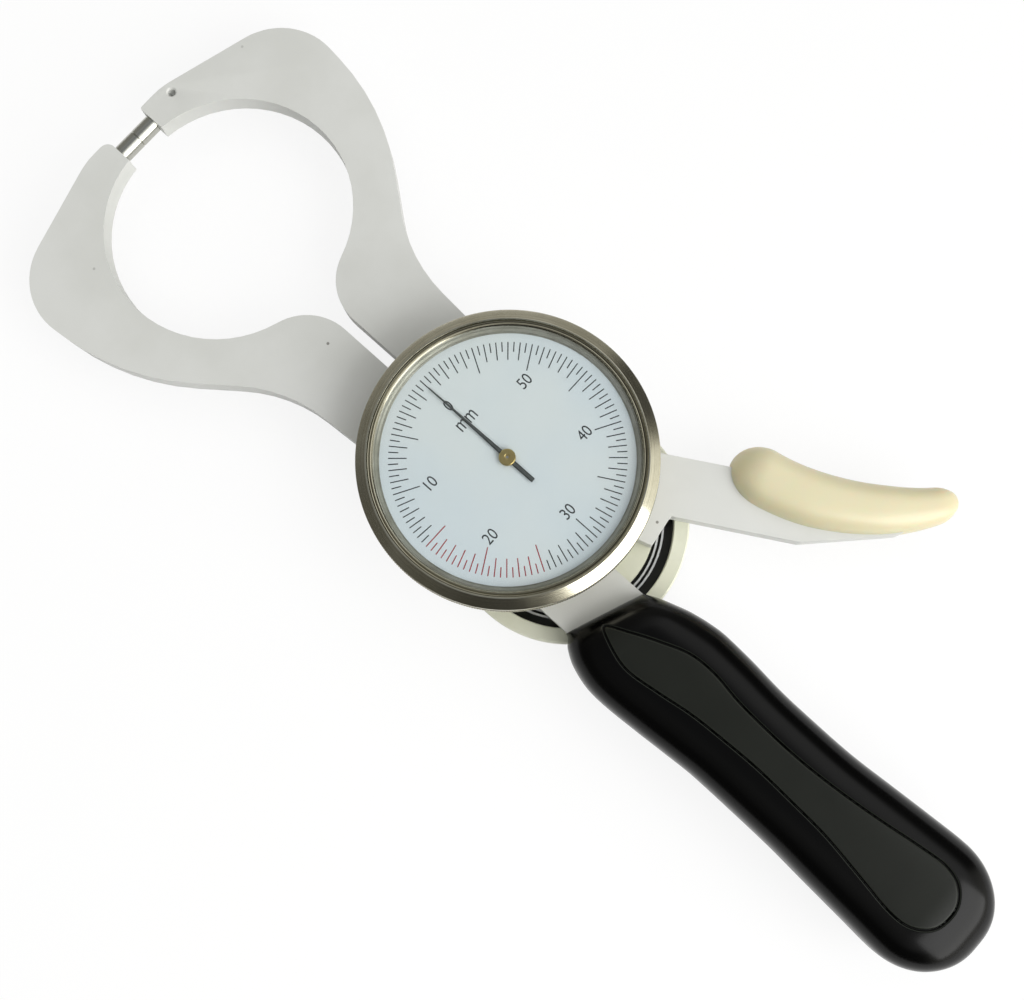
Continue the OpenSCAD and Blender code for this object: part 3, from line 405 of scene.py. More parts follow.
@dataclass(frozen=True)
class Bare(Finish):
    """Bare metal with a fine isotropic grain, for screws, washers and works."""

    colour: Colour = tone(190, 190, 190)
    shade: Colour = tone(150, 148, 142)
    rough: float = 0.28
    grains: Noise = (2600.0, 2.0, 0.5)
    grain_depth: float = 0.00001
    tarnishes: Noise = (210.0, 4.0, 0.6)

    def fill(self, graph: Graph) -> None:
        """Grain in gloss and relief, with a faint tarnish."""
        place = graph.place()
        grain = graph.noise(place, self.grains)
        tarnish = graph.noise(place, self.tarnishes).step(0.35, 0.7)
        graph.surface({
            "Base Color": graph.mix(tarnish * 0.7, self.colour, self.shade),
            "Metallic": 1.0,
            "Roughness": self.rough + 0.12 * grain + 0.08 * tarnish,
            "Normal": graph.bump(grain, self.grain_depth, 0.3),
        })


@dataclass(frozen=True)
class GripPlastic(Finish):
    """Black moulded plastic: gloss outside the panel, satin grain inside it, with a painted
    highlight along the groove's edges and painted shade in the groove.
    """

    gloss: Colour = tone(4, 4, 4)
    satin: Colour = tone(31, 33, 29)
    # Painted shade in the groove, then a painted highlight along its edges.
    groove_shade: Colour = tone(1, 1, 1)
    groove_highlight: Colour = tone(48, 52, 45)
    grains: Noise = (1500.0, 3.0, 0.6)
    grain_depth: float = 0.000012
    flows: Noise = (60.0, 3.0, 0.5)

    def fill(self, graph: Graph) -> None:
        """Reads "depth", the millimetres from the panel's outline towards its middle."""
        place = graph.place()
        depth = graph.attribute("depth")
        panel = depth.step(0.45, 0.75)
        groove = depth.step(-0.02, 0.12) * depth.step(0.62, 0.48)
        # Painted highlight: a lighter band along each edge of the groove.
        groove_highlight = depth.step(-0.3, -0.08) * depth.step(0.02, -0.06)
        groove_highlight = groove_highlight + depth.step(0.55, 0.62) * depth.step(0.9, 0.7)
        grain = graph.noise(place, self.grains)
        flow = graph.noise(place, self.flows)
        colour = graph.mix(panel * (0.85 + 0.4 * (flow - 0.5)), self.gloss, self.satin)
        colour = graph.mix(groove_highlight * 0.6, colour, self.groove_highlight)
        # Painted shade: the groove is painted darkest.
        colour = graph.mix(groove, colour, self.groove_shade)
        graph.surface({
            "Base Color": colour,
            "Roughness": 0.17 + 0.15 * panel + 0.05 * flow + 0.2 * groove,
            "Specular IOR Level": 0.15,
            "Normal": graph.bump(grain * (0.25 + 0.75 * panel), self.grain_depth, 0.5),
        })


@dataclass(frozen=True)
class IvoryPlastic(Finish):
    """Ivory moulded plastic with a soft gloss, with painted shade that makes it darker and yellower
    round its rim.
    """

    face: Colour = tone(221, 214, 181)
    # Painted shade round the pad's sides and ends.
    rim: Colour = tone(216, 207, 168)
    clouds: Noise = (75.0, 4.0, 0.55)
    grains: Noise = (1300.0, 2.0, 0.5)
    grain_depth: float = 0.00001

    def fill(self, graph: Graph) -> None:
        """Reads the mesh's rim number, which places the painted shade; faint clouds and moulding
        grain.
        """
        place = graph.place()
        rim = graph.attribute("rim")
        cloud = graph.noise(place, self.clouds)
        grain = graph.noise(place, self.grains)
        fade = rim * 0.8 + 0.25 * (cloud - 0.5)
        graph.surface({
            "Base Color": graph.mix(fade, self.face, self.rim),
            "Roughness": 0.30 + 0.08 * cloud,
            "Subsurface Weight": 0.3,
            "Subsurface Scale": 0.006,
            "Coat Weight": 0.1,
            "Coat Roughness": 0.25,
            "Normal": graph.bump(grain, self.grain_depth, 0.4),
        })


@dataclass(frozen=True)
class DialPaint(Finish):
    """Pale silvery blue dial paint with slow clouds and a fine grain."""

    colour: Colour = tone(214, 223, 228)
    other: Colour = tone(221, 227, 228)
    clouds: Noise = (26.0, 2.0, 0.5)
    grains: Noise = (3000.0, 2.0, 0.5)
    grain_depth: float = 0.000006

    def fill(self, graph: Graph) -> None:
        """Two close tones in slow clouds, with a fine grain."""
        place = graph.place()
        cloud = graph.noise(place, self.clouds).step(0.35, 0.65)
        grain = graph.noise(place, self.grains)
        graph.surface({
            "Base Color": graph.mix(cloud, self.colour, self.other),
            "Roughness": 0.46 + 0.08 * grain,
            "Normal": graph.bump(grain, self.grain_depth, 0.4),
        })


@dataclass(frozen=True)
class Ink(Finish):
    """Printed ink, a little uneven."""

    colour: Colour = tone(26, 30, 33)
    thin: Colour = tone(52, 58, 61)
    patches: Noise = (900.0, 3.0, 0.6)

    def fill(self, graph: Graph) -> None:
        """Ink that thins in small patches."""
        patch = graph.noise(graph.place(), self.patches).step(0.45, 0.75)
        graph.surface({
            "Base Color": graph.mix(patch * 0.6, self.colour, self.thin),
            "Roughness": 0.5 + 0.1 * patch,
        })


@dataclass(frozen=True)
class NeedleLacquer(Finish):
    """Blued and lacquered needle: dark olive grey with a soft gloss."""

    colour: Colour = tone(30, 34, 33)
    # painted highlight for the needle's top flat
    ridge_highlight: Colour = tone(88, 92, 90)
    patches: Noise = (700.0, 3.0, 0.6)

    def fill(self, graph: Graph) -> None:
        """A painted highlight along "ridge", the top flat of the needle, uneven in patches where
        the lacquer is thin.
        """
        patch = graph.noise(graph.place(), self.patches).step(0.4, 0.75)
        # Painted highlight on the needle's top flat.
        ridge = graph.attribute("ridge").step(0.45, 1.0)
        graph.surface({
            "Base Color": graph.mix(ridge * (0.65 + 0.35 * patch), self.colour, self.ridge_highlight),
            "Metallic": 0.35,
            "Roughness": 0.34 + 0.12 * patch,
        })


@dataclass(frozen=True)
class Clear(Finish):
    """Clear crystal: it doesn't bend light, and its reflection grows at glancing angles."""

    tint: Colour = (0.975, 0.985, 0.985, 1.0)
    base: float = 0.04
    edge: float = 0.55
    hazes: Noise = (140.0, 3.0, 0.5)

    def fill(self, graph: Graph) -> None:
        """Mixes a clear and a glossy shader by how far the surface turns from the eye."""
        weight = graph.node("ShaderNodeLayerWeight", {}, {"Blend": 0.25})
        facing = Sock(graph, weight.outputs["Facing"])
        haze = graph.noise(graph.place(), self.hazes)
        clear = graph.node("ShaderNodeBsdfTransparent", {}, {"Color": self.tint})
        gloss = graph.node("ShaderNodeBsdfPrincipled", {}, {
            "Base Color": (1.0, 1.0, 1.0, 1.0), "Metallic": 1.0,
            "Roughness": 0.02 + 0.03 * haze})
        graph.blend(self.base + self.edge * facing ** 3.0, clear, gloss)


DIAL_CENTRE = (0.0, 0.01978)
ENAMEL = Enamel("enamel_grey")
DIAL_PLATING = Plated("dial_plating", centre=DIAL_CENTRE, rough=0.1, ripple=0.3, lines=0.5,
                      streak=0.3, inner_shade_r=0.0344)
RING_PLATING = Plated("ring_plating", centre=DIAL_CENTRE, colour=tone(176, 175, 163),
                      shade=tone(128, 126, 110), rough=0.4, ripple=0.8, lines=1.0, metal=0.55,
                      streak=0.85)
DRUM_PLATING = Plated("drum_plating", colour=tone(236, 237, 218), shade=tone(222, 223, 200),
                      rough=0.3, ripple=0.1, metal=0.25, well=(0.0276, 0.0038, 0.0056))
SPRING_POLISH = Plated("spring_polish", colour=tone(240, 241, 240), shade=tone(200, 202, 204),
                       rough=0.2, ripple=0.2, metal=0.5)
ANVIL_CHROME = Turned("anvil_chrome_ground")
STEEL = Bare("steel_bright")
BRONZE = Bare("bronze_bearing", tone(176, 138, 92), tone(140, 104, 66), 0.3)
BRASS = Bare("brass_turned", tone(214, 192, 128), tone(182, 158, 96), 0.22)
BLACK = GripPlastic("grip_black")
IVORY = IvoryPlastic("pad_ivory")
DIAL_WHITE = DialPaint("dial_face_paint")
INK = Ink("ink_dark")
RED_INK = Ink("ink_red", tone(152, 26, 38), tone(176, 66, 76))
NEEDLE = NeedleLacquer("needle_lacquer")
CRYSTAL = Clear("crystal_clear")


# ------------------------------------------------------------------ mesh building


def enter(name: str, data: bpy.types.ID) -> Thing:
    """Links a new object with this data into the scene, at the origin."""
    obj = bpy.data.objects.new(name, data)
    bpy.context.scene.collection.objects.link(obj)
    return obj


def coat(mesh: bpy.types.Mesh, finish: Finish) -> None:
    """Gives a mesh one finish."""
    mesh.materials.clear()
    mesh.materials.append(finish.material())


def smooth(mesh: bpy.types.Mesh, sharp_deg: float) -> None:
    """Shades a mesh smooth but for edges that bend more than this."""
    mesh.shade_smooth()
    mesh.set_sharp_from_angle(angle=math.radians(sharp_deg))


def heights(node: str) -> Pair:
    """The lowest and the highest z of a CAD node, in millimetres."""
    low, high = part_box(node)
    return low.z / MM, high.z / MM


def piece(name: str, verts: np.ndarray, faces: Iterable[Sequence[int]], finish: Finish,
          sharp_deg: float = 30.0, numbers: Optional[Dict[str, np.ndarray]] = None,
          ) -> Thing:
    """Makes an object at the origin from points in millimetres.

    Args:
        name: the object's name.
        verts: points, one row each.
        faces: point numbers of each face.
        finish: its finish.
        sharp_deg: edges that bend more than this stay sharp.
        numbers: vertex attributes by name.

    Returns:
        The object, smooth shaded.
    """
    mesh = bpy.data.meshes.new(name)
    mesh.from_pydata((np.asarray(verts, float) * MM).tolist(), [],
                     [list(map(int, f)) for f in faces])
    for key, values in (numbers or {}).items():
        layer = mesh.attributes.new(key, "FLOAT", "POINT")
        layer.data.foreach_set("value", np.asarray(values, np.float32).ravel())
    mesh.validate()
    smooth(mesh, sharp_deg)
    coat(mesh, finish)
    return enter(name, mesh)


def grid_faces(rows: int, cols: int, around: bool, loop: bool = False) -> np.ndarray:
    """Quads of a grid of points.

    Args:
        rows: rows of points.
        cols: points in a row.
        around: whether each row closes on itself.
        loop: whether the last row joins the first.

    Returns:
        Four point numbers a face; rows run along u, columns along v.
    """
    i = np.arange(rows if loop else rows - 1)[:, None]
    j = np.arange(cols if around else cols - 1)[None, :]
    i2, j2 = (i + 1) % rows, (j + 1) % cols
    quads = np.stack([i * cols + j, i2 * cols + j, i2 * cols + j2, i * cols + j2], -1)
    return quads.reshape(-1, 4)


def shell_faces(rows: int, cols: int) -> List[List[int]]:
    """Faces of a closed shell whose rows are rings, with a flat face on each end ring."""
    last = (rows - 1) * cols
    caps = [list(range(cols))[::-1], list(range(last, last + cols))]
    return grid_faces(rows, cols, True)[:, ::-1].tolist() + caps


def turned(name: str, profile: Sequence[Pair], finish: Finish,
           centre: Pair = (0.0, 0.0), steps: int = 192,
           sharp_deg: float = 30.0, lay: Optional[np.ndarray] = None) -> Thing:
    """A turned solid: the closed profile (r, z) swept round a line parallel to Z.

    The surface is P(u, a) = centre + (r(u) cos a, r(u) sin a, z(u)). The profile runs
    anticlockwise in the (r, z) half plane, so the faces point outwards. A profile that
    touches r = 0 closes there in one point.

    Args:
        name: the object's name.
        profile: corners of the section, in millimetres.
        finish: its finish.
        centre: the axis, in millimetres.
        steps: points round the axis.
        sharp_deg: edges that bend more than this stay sharp.
        lay: a 3 by 4 turn and shift that lays the finished solid elsewhere.

    Returns:
        The object.
    """
    section = np.asarray(profile, float)
    angle = np.arange(steps) * TURN / steps
    cols = np.stack([np.cos(angle), np.sin(angle)], -1)
    verts, rows, poles = [], [], []
    for r, z in section:
        if r < 1e-6:
            rows.append(np.full(steps, len(verts)))
            verts.append([centre[0], centre[1], z])
        else:
            rows.append(len(verts) + np.arange(steps))
            ring = np.c_[centre[0] + r * cols[:, 0], centre[1] + r * cols[:, 1],
                         np.full(steps, z)]
            verts.extend(ring.tolist())
    faces = []
    count = len(section)
    for k in range(count):
        a, b = rows[k], rows[(k + 1) % count]
        flat_a, flat_b = a[0] == a[-1], b[0] == b[-1]
        if flat_a and flat_b:
            continue
        quad = np.stack([a, np.roll(a, -1), np.roll(b, -1), b], -1)
        if flat_a:
            quad = quad[:, [0, 2, 3]]
        elif flat_b:
            quad = quad[:, [0, 1, 2]]
        faces.extend(quad.tolist())
    points = np.array(verts)
    if lay is not None:
        points = points @ lay[:, :3].T + lay[:, 3]
    return piece(name, points, faces, finish, sharp_deg)


def eased(profile: Sequence[Pair], radius: float = 0.12,
          steps: int = 3) -> List[Pair]:
    """Rounds the corners of a closed section.

    A corner C between the cut points A and B becomes (1 - t)^2 A + 2 t (1 - t) C + t^2 B.

    Args:
        profile: corners (r, z) of the section; those at r = 0 stay.
        radius: how far from a corner the cut points lie at most, in millimetres.
        steps: lines to a corner.

    Returns:
        The new corners.
    """
    pts = np.asarray(profile, float)
    count = len(pts)
    result: List[Pair] = []
    for k in range(count):
        before, here, after = pts[k - 1], pts[k], pts[(k + 1) % count]
        if here[0] < 1e-6:
            result.append((0.0, float(here[1])))
            continue
        d0, d1 = np.linalg.norm(before - here), np.linalg.norm(after - here)
        r = min(radius, 0.4 * d0, 0.4 * d1)
        start = here + (before - here) / d0 * r
        end = here + (after - here) / d1 * r
        for t in np.linspace(0.0, 1.0, steps + 1):
            p = (1 - t) ** 2 * start + 2 * t * (1 - t) * here + t * t * end
            result.append((float(p[0]), float(p[1])))
    return result


def merge(mesh: bpy.types.Mesh, distance: float, flat_deg: float = 0.0) -> None:
    """Joins a mesh's coincident points in place, and its flat faces if asked.

    Args:
        mesh: the mesh, changed in place.
        distance: points closer than this, in metres, become one.
        flat_deg: faces that bend less than this become one; 0 leaves them.
    """
    work = bmesh.new()
    work.from_mesh(mesh)
    bmesh.ops.remove_doubles(work, verts=work.verts, dist=distance)
    if flat_deg > 0.0:
        bmesh.ops.dissolve_limit(work, angle_limit=math.radians(flat_deg), verts=work.verts,
                                 edges=work.edges, delimit=set())
    work.to_mesh(mesh)
    work.free()


def countersink(points: np.ndarray, spot: Pair, radius: float, floor: float,
                reach: float = 0.35, lean: float = 0.004) -> np.ndarray:
    """Presses a round flat-bottomed recess into the underside of a grid of points.

    A point within reach outside the circle of radius R goes out to (1 + lean) R, and one
    within reach inside it goes in to (1 - lean) R, so the wall stands almost upright. Every
    point inside rises to the floor.

    Args:
        points: (n, 3) places in millimetres.
        spot: the middle of the recess.
        radius: its radius.
        floor: the height of its floor.
        reach: how near the circle a point is moved to it.
        lean: how far the wall leans, as a share of the radius.

    Returns:
        The new places.
    """
    result = points.copy()
    away = points[:, :2] - np.asarray(spot)
    d = np.hypot(away[:, 0], away[:, 1]) + 1e-9
    below = points[:, 2] < floor
    outer = below & (d >= radius) & (d < radius + reach)
    inner = below & (d < radius) & (d > radius - reach)
    for near, place in ((outer, (1.0 + lean) * radius), (inner, (1.0 - lean) * radius)):
        result[near, :2] = np.asarray(spot) + away[near] / d[near, None] * place
    result[below & (d < radius), 2] = floor
    return result


def rounded_copy(node: str, name: str, finish: Finish, width: float, segments: int = 3,
                 angle_deg: float = 35.0) -> Thing:
    """A merged copy of a CAD node with its edges rounded by a live bevel.

    Args:
        node: the CAD node that the copy stands for.
        name: the copy's name.
        finish: its finish.
        width: bevel width in millimetres.
        segments: steps across the bevel.
        angle_deg: edges that bend more than this are rounded.

    Returns:
        The copy.
    """
    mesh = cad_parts[node].data.copy()
    mesh.name = name
    merge(mesh, 2e-6, 0.6)
    coat(mesh, finish)
    smooth(mesh, 30.0)
    obj = enter(name, mesh)
    bevel = obj.modifiers.new("edge round", "BEVEL")
    bevel.width = width * MM
    bevel.segments = segments
    bevel.limit_method = "ANGLE"
    bevel.angle_limit = math.radians(angle_deg)
    bevel.harden_normals = True
    return obj


def settle(obj: Thing, body: Body, slot: Slot, *nodes: str) -> Thing:
    """Sets a piece on its body and hides the nodes that it stands for.

    Args:
        obj: the piece.
        body: the body that carries it.
        slot: its material slot; not used.
        nodes: the CAD nodes that it stands for, if any.

    Returns:
        The piece.
    """
    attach(obj, body.value)
    if nodes:
        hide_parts(*nodes)
    LOG.info("%s rides on %s, stands for %s", obj.name, body.value, ", ".join(nodes) or "-")
    return obj


def dress(node: str, finish: Finish) -> None:
    """Gives a carried-over CAD node its finish."""
    coat(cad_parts[node].data, finish)
    LOG.info("%s keeps its solid, in %s", node, finish.name)


@dataclass(frozen=True)
class Curve:
    """A smooth table: value at each station, joined by Hermite steps.

    Between stations s0 and s1 with t = (s - s0) / (s1 - s0), the value is
    (2t^3 - 3t^2 + 1) v0 + (t^3 - 2t^2 + t) m0 + (3t^2 - 2t^3) v1 + (t^3 - t^2) m1, where the
    slopes m are central differences inside and zero at both ends.
    """

    stations: Pairs

    def __call__(self, s: np.ndarray) -> np.ndarray:
        """The values at s, held constant past the ends.

        Args:
            s: where the table is read.

        Returns:
            One value for each.
        """
        table = np.asarray(self.stations, float)
        x, v = table[:, 0], table[:, 1]
        m = np.zeros_like(v)
        m[1:-1] = (v[2:] - v[:-2]) / (x[2:] - x[:-2])
        q = np.clip(s, x[0], x[-1])
        k = np.clip(np.searchsorted(x, q, side="right") - 1, 0, len(x) - 2)
        d = x[k + 1] - x[k]
        t = (q - x[k]) / d
        return ((2 * t ** 3 - 3 * t ** 2 + 1) * v[k] + (t ** 3 - 2 * t ** 2 + t) * m[k] * d
                + (3 * t ** 2 - 2 * t ** 3) * v[k + 1] + (t ** 3 - t ** 2) * m[k + 1] * d)


def power_wave(values: np.ndarray, squareness: float) -> np.ndarray:
    """Signed power of a sine or cosine, for a superellipse section."""
    return np.sign(values) * np.abs(values) ** (2.0 / squareness)


# ------------------------------------------------------------------ jaws


@dataclass
class Jaws:
    """The two painted arms and their anvils."""

    edge: float = 0.35
    reach: float = 156.3
    mid: float = 13.0
    anvil_r: float = 2.5
    anvil_len: float = 6.2
    anvil_ease: float = 0.18
    shank_r: float = 1.5
    shank_len: float = 6.0

    def build(self) -> None:
        """Rounds the plates' edges and turns the anvils."""
        settle(rounded_copy("fixed_plate", "arm_fixed", ENAMEL, self.edge),
               Body.FRAME, Slot.PAINT, "fixed_plate")
        settle(rounded_copy("moving_plate", "arm_moving", ENAMEL, self.edge),
               Body.JAW, Slot.PAINT, "moving_plate")
        settle(self.anvil("anvil_fixed", -1.0), Body.FRAME, Slot.CHROME, "fixed_anvil")
        settle(self.anvil("anvil_moving", 1.0), Body.JAW, Slot.CHROME, "moving_anvil")

    def anvil(self, name: str, side: float) -> Thing:
        """An anvil with a polished face, an eased rim and a fine collar at its seat.

        It is turned about Z and laid along X, its face at x = 0: (side z, reach + x, mid + side y).

        Args:
            name: the object's name.
            side: 1 towards +X, -1 towards -X.

        Returns:
            The object.
        """
        r, length, ease = self.anvil_r, self.anvil_len, self.anvil_ease
        section = [(0.0, 0.0), (r - ease, 0.0), (r, ease), (r, length - 0.35),
                   (r - 0.12, length - 0.25), (r - 0.12, length), (self.shank_r, length),
                   (self.shank_r, length + self.shank_len), (0.0, length + self.shank_len)]
        lay = np.array([[0.0, 0.0, side, 0.0], [1.0, 0.0, 0.0, self.reach],
                        [0.0, side, 0.0, self.mid]])
        return turned(name, section, ANVIL_CHROME, steps=96, lay=lay)


# ------------------------------------------------------------------ dial


class Grade(Enum):
    """Kinds of scale marks, with their inner radii in millimetres."""

    HALF = 26.9
    ONE = 24.8
    FIVE = 22.5


@dataclass
class Dial:
    """Case, bezel, crystal, sloped ring and the printed face."""

    centre: Pair = (0.0, 19.78)
    case_r: float = 35.2
    bezel_r: float = 37.8
    lip_r: float = 32.9
    bore_gap: float = 0.12
    seat_in: float = 0.4
    wall_in: float = 0.45
    knurl_drop: float = 2.7
    knurl_h: float = 1.3
    foot_rise: float = 1.32
    band_lean: float = 2.36
    band_power: float = 0.96
    ring_bore: float = 31.6
    dome_w: float = 4.0
    dome_drop: float = 0.32
    glass_edge: float = 0.42
    ribs: int = 360
    rib_low: float = 2.55
    rib_high: float = 1.55
    rib_depth: float = 0.16
    plate_bore: float = 1.0
    mark_count: int = 120
    mark_r: float = 29.4
    mark_w: float = 0.28
    print_t: float = 0.012
    number_r: float = 19.8
    number_h: float = 3.0
    number_narrow: float = 0.85
    unit_r: float = 13.8
    unit_h: float = 2.55
    unit_narrow: float = 0.72
    red_from: int = 30
    red_to: int = 50
    crest: Pairs = (
        (34.78, 0.03), (34.58, 0.0), (34.38, 0.04), (34.2, 0.3), (34.12, 0.62), (33.92, 0.68),
        (33.75, 0.5), (33.6, 0.36), (33.4, 0.33), (33.2, 0.42), (33.05, 0.62))
    slope_steps: Pairs = (
        (1.55, 0.0), (1.3, 0.2), (0.95, 0.3), (0.8, 0.62), (0.45, 0.85))
    levels: Dict[str, float] = field(default_factory=dict)

    def build(self) -> None:
        """Builds every piece of the dial, at the heights of the CAD nodes."""
        for low, high, node in (("back", "rim", "dial_case"), ("plate", "dial", "dial_plate"),
                                ("glass", "glass_top", "crystal"), ("skirt", "top", "bezel_ring")):
            self.levels[low], self.levels[high] = heights(node)
        settle(self.bezel(), Body.BEZEL, Slot.NICKEL, "bezel_ring")
        settle(self.ribbed_rim(), Body.BEZEL, Slot.NICKEL)
        settle(self.slope(), Body.BEZEL, Slot.NICKEL, "sloped_ring")
        settle(self.crystal(), Body.BEZEL, Slot.GLASS, "crystal")
        settle(self.face(), Body.BEZEL, Slot.DIAL, "dial_plate")
        printed = [self.marks("marks_dark", False, INK), self.marks("marks_red", True, RED_INK)]
        for obj in printed + self.figures():
            settle(obj, Body.BEZEL, Slot.DIAL)
        dress("dial_case", DIAL_PLATING)

    def bezel(self) -> Thing:
        """Skirt, flange, conical band, bright crest, groove and bead, turned as one ring.

        Returns:
            The object.
        """
        top, dial, skirt = self.levels["top"], self.levels["dial"], self.levels["skirt"]
        bore, seat = self.case_r + self.bore_gap, self.case_r - self.seat_in
        wall, flange = self.bezel_r - self.wall_in, self.bezel_r - 0.4
        knurl, foot = dial - self.knurl_drop, dial + self.foot_rise
        band = [(wall - 0.04 - self.band_lean * t,
                 foot + (top - 0.14 - foot) * t ** self.band_power)
                for t in np.linspace(0.0, 1.0, 9)]
        section = [
            (bore, skirt), (wall - 0.6, skirt), (wall - 0.4, knurl), (flange, knurl),
            (flange, knurl + self.knurl_h), (wall, knurl + self.knurl_h), (wall, foot - 0.1)]
        section += band + [(r, top - drop) for r, drop in self.crest]
        section += [
            (self.lip_r, self.levels["glass_top"] - 0.35), (seat, self.levels["glass_top"] - 0.4),
            (seat, dial), (bore, dial)]
        return turned("bezel_polished", section, DIAL_PLATING, self.centre, 288, 24.0)

    def ribbed_rim(self) -> Thing:
        """Fine ribs round the flange: r(a) = R - d (1 - |cos(n a / 2)|), between two heights.

        Returns:
            The object.
        """
        dial = self.levels["dial"]
        low, high = dial - self.rib_low, dial - self.rib_high
        steps = self.ribs * 4
        a = np.arange(steps) * TURN / steps
        wave = np.abs(np.cos(0.5 * self.ribs * a))
        root, side, crown = (self.bezel_r - inset for inset in (1.2, 0.3, 0.2))
        depth, ease = self.rib_depth, 0.12
        rows = [(root, low, 0.0), (side, low, depth / 2), (crown, low + ease, depth),
                (crown, high - ease, depth), (side, high, depth / 2), (root, high, 0.0)]
        radius = np.array([r - d * (1.0 - wave) for r, _, d in rows])
        height = np.array([z for _, z, _ in rows])[:, None] * np.ones(steps)[None, :]
        verts = np.stack([self.centre[0] + radius * np.cos(a), self.centre[1] + radius * np.sin(a),
                          height], -1).reshape(-1, 3)
        quads = grid_faces(len(rows), steps, True, True)[:, ::-1]
        return piece("bezel_ribs", verts, quads.tolist(), DIAL_PLATING, 50.0)

    def slope(self) -> Thing:
        """The sloped ring between face and crystal, with fine steps."""
        dial, glass = self.levels["dial"], self.levels["glass"]
        seat, bore = self.case_r - 0.42, self.ring_bore
        section = [(bore, dial), (seat, dial), (seat, glass)]
        section += [(bore + out, glass - drop) for out, drop in self.slope_steps]
        section += [(bore + 0.25, dial + 0.45), (bore, dial + 0.25)]
        return turned("slope_ring", eased(section, 0.1, 2), RING_PLATING, self.centre, 256, 28.0)

    def crystal(self) -> Thing:
        """A clear disc whose rim curves down: z(t) = top - d (1 - t)^2 over its outer width.

        Returns:
            The object.
        """
        glass, top = self.levels["glass"], self.levels["glass_top"]
        seat = self.case_r - 0.45
        rim = self.lip_r - 0.3
        edge = top - self.glass_edge
        dome = [(rim - self.dome_w * t, top - self.dome_drop * (1.0 - t) ** 2)
                for t in np.linspace(0, 1, 12)]
        section = [(0.0, glass), (seat, glass), (seat, edge), (rim, edge)]
        section += dome + [(0.0, top)]
        return turned("crystal_disc", section, CRYSTAL, self.centre, 256, 30.0)

    def face(self) -> Thing:
        """The dial plate with the small hole for the pointer's arbor."""
        low, dial = self.levels["rim"], self.levels["dial"]
        hole, rim = self.plate_bore, self.case_r - 0.1
        section = [(hole, low), (rim, low), (rim, dial), (hole, dial)]
        return turned("dial_face", section, DIAL_WHITE, self.centre, 192)

    def marks(self, name: str, red: bool, finish: Finish) -> Thing:
        """Scale marks: thin radial bars at even angles, counted anticlockwise from +Y.

        Args:
            name: the object's name.
            red: whether to draw the red marks or all the others.
            finish: the ink.

        Returns:
            The object.
        """
        count = np.arange(self.mark_count)
        is_red = (count >= self.red_from) & (count <= self.red_to)
        chosen = count[is_red == red]
        inner = np.where(chosen % 10 == 0, Grade.FIVE.value,
                         np.where(chosen % 2 == 0, Grade.ONE.value, Grade.HALF.value))
        angle = math.pi / 2 + chosen * TURN / self.mark_count
        out = np.stack([np.cos(angle), np.sin(angle)], -1)
        side = np.stack([-np.sin(angle), np.cos(angle)], -1)
        half = self.mark_w / 2
        low = self.levels["dial"]
        corners = []
        for z in (low, low + self.print_t):
            for radius, sign in ((inner, -1.0), (inner, 1.0), (self.mark_r, 1.0),
                                 (self.mark_r, -1.0)):
                r = np.broadcast_to(radius, chosen.shape)[:, None]
                xy = out * r + side * sign * half + np.asarray(self.centre)
                corners.append(np.c_[xy, np.full(len(chosen), z)])
        verts = np.stack(corners, 1).reshape(-1, 3)
        box = np.array([[0, 1, 2, 3], [7, 6, 5, 4], [0, 4, 5, 1], [1, 5, 6, 2], [2, 6, 7, 3],
                        [3, 7, 4, 0]])
        faces = (np.arange(len(chosen))[:, None, None] * 8 + box[None]).reshape(-1, 4)
        return piece(name, verts, faces.tolist(), finish)

    def figures(self) -> List[Thing]:
        """The numbers, 60 degrees apart, and the unit, all upright along +X.

        Returns:
            The objects.
        """
        made = []
        for k in range(6):
            turn = k * TURN / 6
            x = self.centre[0] - self.number_r * math.sin(turn)
            y = self.centre[1] + self.number_r * math.cos(turn)
            made.append(self.figure(str(10 * k), (x, y), self.number_h, self.number_narrow))
        unit_at = (self.centre[0] + 0.3, self.centre[1] + self.unit_r)
        made.append(self.figure("mm", unit_at, self.unit_h, self.unit_narrow))
        return made

    def figure(self, text: str, middle: Pair, height: float,
               narrow: float) -> Thing:
        """Printed text as a thin mesh.

        Args:
            text: what it says.
            middle: its middle on the dial, in millimetres.
            height: its height in millimetres.
            narrow: how much narrower than the typeface it is set.

        Returns:
            The object.
        """
        curve = bpy.data.curves.new("figure_" + text, "FONT")
        curve.body = text
        curve.extrude = 0.05
        curve.resolution_u = 6
        holder = enter("figure_" + text, curve)
        bpy.context.view_layer.update()
        mesh = bpy.data.meshes.new_from_object(holder)
        bpy.data.objects.remove(holder)
        co = np.zeros(len(mesh.vertices) * 3)
        mesh.vertices.foreach_get("co", co)
        co = co.reshape(-1, 3)
        low, high = co.min(0), co.max(0)
        scale = height / (high[1] - low[1])
        size = np.array([narrow * scale, scale, self.print_t / (high[2] - low[2])])
        foot = np.array([middle[0], middle[1], self.levels["dial"] + 0.5 * self.print_t])
        co = (foot + (co - (low + high) / 2) * size) * MM
        LOG.info("%s is %.2f mm wide", text, narrow * scale * (high[0] - low[0]))
        mesh.vertices.foreach_set("co", co.ravel())
        merge(mesh, 1e-7)
        coat(mesh, INK)
        return enter("number_" + text, mesh)


